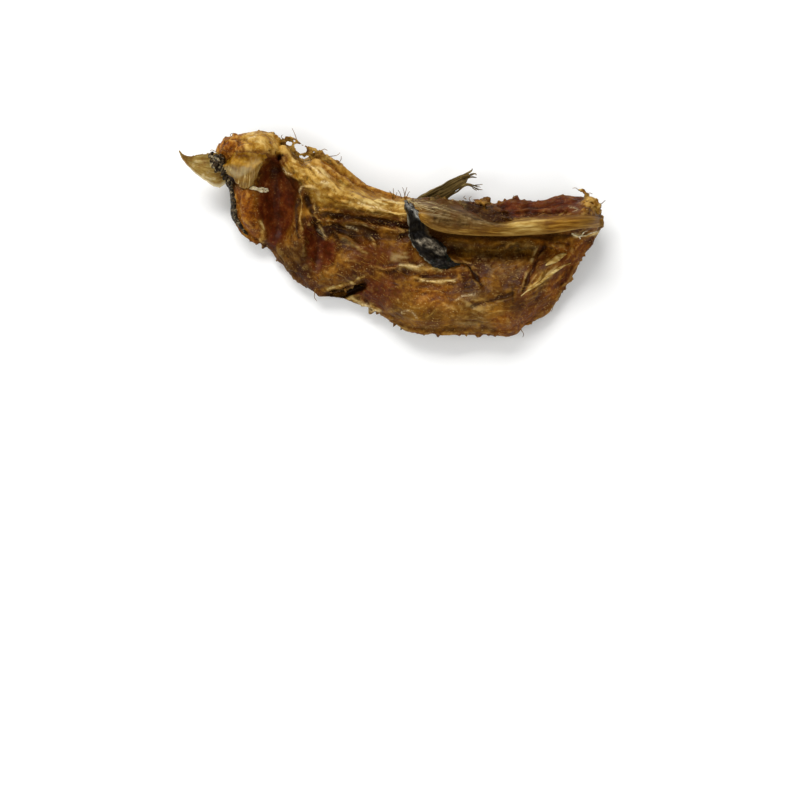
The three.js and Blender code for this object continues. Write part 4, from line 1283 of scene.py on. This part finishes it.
def belly_film_material():
    """The belly's black lining: a thin film, near black, silver-grey where it has crumpled. A grey
    sheen, a highlight along its rolled edge and a dark green glint near its end are painted on.
    The silver's own grain is too fine to show, so it is drawn as the patches that it gathers in."""
    m = new_material("belly_film_dried")
    wrinkles = streaked(m, 9, 20, 3.0, 6.0)
    crumple = blotches(m, 3.2, 14.0, 6.0, 0.7, (1, 1.4, 1))
    colour = node(m, "ValToRGB", {0: wrinkles}, stops=((0.3, "#060403"), (0.5, "#100c08"), (0.7, "#2a241a")))
    shine = node(m, "ValToRGB", {0: wrinkles}, stops=((0.32, "#35322b"), (0.5, "#76726a"), (0.66, "#bcbcb4")))
    grey = node(m, "ValToRGB", {0: wrinkles}, stops=((0.32, "#2c261c"), (0.5, "#6a6050"), (0.66, "#a89c86")))
    colour = tinted(
        m, colour,
        (shine, ("silver",), (crumple, 0.42, 0.54)),
        # Painted sheen: a grey reflection laid on the lower fold where it crumples.
        (grey, ("sheen",), (crumple, 0.4, 0.52, 0.1, 1)),
        # Painted highlight along the rolled-up free edge.
        ("#8c8672", ("across", 0.1, 0.02, 0, 0.8), ("along", 0.8, 0.7), (crumple, 0.4, 0.5)),
        ("#4e3a1c", ("across", 0.8, 0.97, 0, 0.7), ("along", 0.5, 0.35)),
        # Painted glint: dark green, near the end of the lining.
        ("#142018", ("along", 0.72, 0.8, 0, 0.7), (crumple, 0.5, 0.4)))
    return finish(m, colour, 0.4, wrinkles, 0.6, coat=0.06)


def bone_material():
    """Bone under shrunken skin: grey-tan and scratched where the skin is on, bare and pale
    yellow along its lip, olive-brown towards the tail."""
    m = new_material("collar_bone_under_skin")
    drawn = streaked(m, 14, 9, 1.0)
    lines = streaked(m, 26, 5, 9.0, 6.0)
    scratch = streaked(m, 5, 60, 7.0, 6.0)
    some = node(m, "MapRange", {0: blotches(m, 6, 16.0, 3.0), 1: 0.5, 2: 0.7, 3: 0, 4: 0.6})
    mottled = blotches(m, 2.2, 17.0, 6.0, 0.65, (2.6, 1, 1))
    lined = node(m, "Mix", {0: 0.78, 2: lines, 3: mottled})
    scratches = node(m, "Mix", {0: some, 2: lined, 3: scratch})
    mottle = blotches(m, 7, 15.0)
    bare = node(m, "ValToRGB", {0: drawn}, stops=(
        (0.34, "#4c2a04"), (0.46, "#6c450c"), (0.57, "#8c6420"), (0.68, "#ae8a42")))
    hide = node(m, "ValToRGB", {0: scratches}, stops=(
        (0.36, "#221505"), (0.46, "#453012"), (0.55, "#624b28"), (0.66, "#8e7751")))
    bright = node(m, "ValToRGB", {0: drawn}, stops=((0.36, "#8c6a2c"), (0.5, "#b09048"), (0.64, "#ccb472")))
    masked = node(m, "Attribute", out="Fac", attribute_name="hide")
    height = node(m, "Mix", {0: masked, 2: drawn, 3: scratches})
    colour = tinted(
        m, bare,
        (hide, ("hide",)),
        (bright, ("bright", 0, 1, 0, 0.62)),
        ("#6c4e20", ("knob", 0, 1, 0, 0.6)),
        ("#553410", (mottle, 0.5, 0.66, 0, 0.65)),
        ("#4a2608", ("across", 0.3, 0.08), (mottle, 0.36, 0.56, 0.4, 1)),
        ("#a8946c", ("fuzz",), (lines, 0.46, 0.6, 0, 0.8), (mottled, 0.42, 0.55, 0.2, 1)),
        ("#94743a", ("across", 0.62, 0.76, 0, 0.7), (drawn, 0.35, 0.6, 0.5, 1)),
        # Painted shade under the lip, where it overhangs the trough.
        ("#3a2008", ("across", 0.86, 0.95, 0, 0.9)))
    return finish(m, colour, 0.5, height, 0.4, coat=0.02, scatter=0.04)


def fin_web_material():
    """Web dried hard between fin rays: olive-brown, darker in the grooves."""
    m = new_material("fin_web_dried")
    rays = streaked(m, 16, 2.0, 4.0)
    colour = node(m, "ValToRGB", {0: rays}, stops=(
        (0.3, "#241a0c"), (0.45, "#483818"), (0.6, "#6c5830"), (0.75, "#94805a")))
    return finish(m, colour, 0.45, rays, 0.5, coat=0.03)


def strand_material(name, tones, size=1.6, roughness=0.4):
    """Bone or sinew split off in strands: streaked from dark to light along its length."""
    m = new_material(name)
    lines = blotches(m, size, 2.0, 5.0, 0.55, (2.5, 1, 1))
    colour = node(m, "ValToRGB", {0: lines}, stops=tuple(zip((0.3, 0.5, 0.7), tones)))
    return finish(m, colour, roughness, lines, 0.25, coat=0.05, scatter=0.1)


def wear(piece, material, slot, *nodes):
    piece.data.materials.clear()
    piece.data.materials.append(material)
    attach(piece, "root")
    if nodes:
        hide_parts(*nodes)


splinter = strand_material("bone_splinter_dried", ("#6a4c1a", "#9c7c3c", "#ceb87c"))
shed = strand_material("hide_fibre_dried", ("#7a6238", "#a08a5c", "#c8b68c"), 3.0, 0.5)
sinew = strand_material("sinew_dried_white", ("#8a7448", "#c4b48c", "#ece4cc"), 1.0)
horn = strand_material("fin_ray_horn", ("#2c2210", "#5a4a28", "#8c7848"), 1.2, 0.5)
pale_fibre = strand_material("lifted_fibre_dried", ("#5a360a", "#7e551a", "#a87e3c"), 3.0)
fibre = strand_material("loose_fibre_dried", ("#3c2408", "#6e5024", "#a88a50"), 1.2, 0.5)

flesh = sculpt_flesh()
flesh_bed = Bed(flesh.data)
wear(flesh, dried_flesh_material(), "dried_flesh", "dried_flesh")
wear(make_gill_plate(), gill_plate_material(), "thin_bone", "gill_plate")
wear(make_fan_membrane(flesh_bed), fan_membrane_material(), "membrane", "fan_membrane")
wear(make_skin_fold(flesh_bed), scaly_skin_material(), "fish_skin", "scaly_skin_fold")
wear(make_frill(), lace_material(), "dried_flesh", "torn_frill")
wear(make_belly_film(), belly_film_material(), "belly_lining", "belly_film")
bone = make_bone(flesh_bed)
wear(bone, bone_material(), "bone", "collar_bone")
wear(make_hide_fibres(Bed(bone.data)), shed, "bone")
fin_web, fin_rays = make_fin()
wear(fin_web, fin_web_material(), "fin", "pectoral_fin")
wear(fin_rays, horn, "fin")
wear(make_sliver("long_splinter", flesh_bed, [(78.3, 19.3), (81, 23), (84, 27), (88, 32.8), (91.2, 35.8)],
                 [0.15, 0.35, 0.55, 0.7, 0.6, 0.2], 500), splinter, "bone", "bone_sliver")
wear(make_sliver("short_splinter", flesh_bed, [(84.8, 34.2), (86.6, 36.4), (88.6, 38.8), (90, 40)],
                 [0.3, 1.2, 1.5, 1.0, 0.3], 510), splinter, "bone", "short_bone_sliver")
wear(make_shreds(flesh_bed), sinew, "membrane")
wear(make_hairs(flesh_bed), fibre, "dried_flesh")
wear(make_lifted_fibres(flesh_bed), pale_fibre, "dried_flesh")

# Floor, light and camera

FLOOR_REACH = 6000.0
FRAME_WIDTH = 378.4     # what the view takes in at the object's mid height
CAMERA_HEIGHT = 1500.0
SENSOR = 36.0
VIEW_CENTRE = (4.0, -79.0)


def add_floor():
    reach = FLOOR_REACH
    corners = [(-reach, -reach, 0), (reach, -reach, 0), (reach, reach, 0), (-reach, reach, 0)]
    floor = make_piece("floor", make_mesh("floor", corners, [(0, 1, 2, 3)]))
    m = new_material("floor_white_paper")
    paper = node(m, "BsdfPrincipled", {"Base Color": "#f6f6f5", "Roughness": 0.8})
    node(m, "OutputMaterial", {"Surface": paper})
    floor.data.materials.append(m)


def add_area_light(name, place, size, power):
    """A soft box that looks at the origin; power in watts."""
    lamp = bpy.data.lights.new(name, "AREA")
    lamp.shape = "RECTANGLE"
    lamp.size, lamp.size_y = size[0] * MM, size[1] * MM
    lamp.energy = power
    holder = bpy.data.objects.new(name, lamp)
    holder.location = Vector(place) * MM
    holder.rotation_euler = (-Vector(place)).to_track_quat("-Z", "Y").to_euler()
    bpy.context.scene.collection.objects.link(holder)


def add_world(strength):
    world = bpy.data.worlds.new("studio")
    world.use_nodes = True
    back = world.node_tree.nodes["Background"]
    back.inputs["Color"].default_value = (1, 1, 1, 1)
    back.inputs["Strength"].default_value = strength
    bpy.context.scene.world = world


def add_camera():
    lens = bpy.data.cameras.new("camera")
    lens.sensor_width = SENSOR
    lens.lens = SENSOR * CAMERA_HEIGHT / FRAME_WIDTH
    lens.clip_end = 20
    camera = bpy.data.objects.new("camera", lens)
    mid_height = (cad_low.z + cad_high.z) / 2
    camera.location = Vector((*VIEW_CENTRE, CAMERA_HEIGHT + mid_height / MM)) * MM
    bpy.context.scene.collection.objects.link(camera)
    bpy.context.scene.camera = camera


add_floor()
add_world(0.42)
add_area_light("key_soft_box", (-250, 900, 900), (900, 500), 15)
add_area_light("fill_soft_box", (600, -900, 900), (900, 700), 6.5)
add_area_light("side_soft_box", (-1000, -200, 800), (700, 700), 5)
add_camera()
bpy.context.scene.view_settings.view_transform = "Standard"
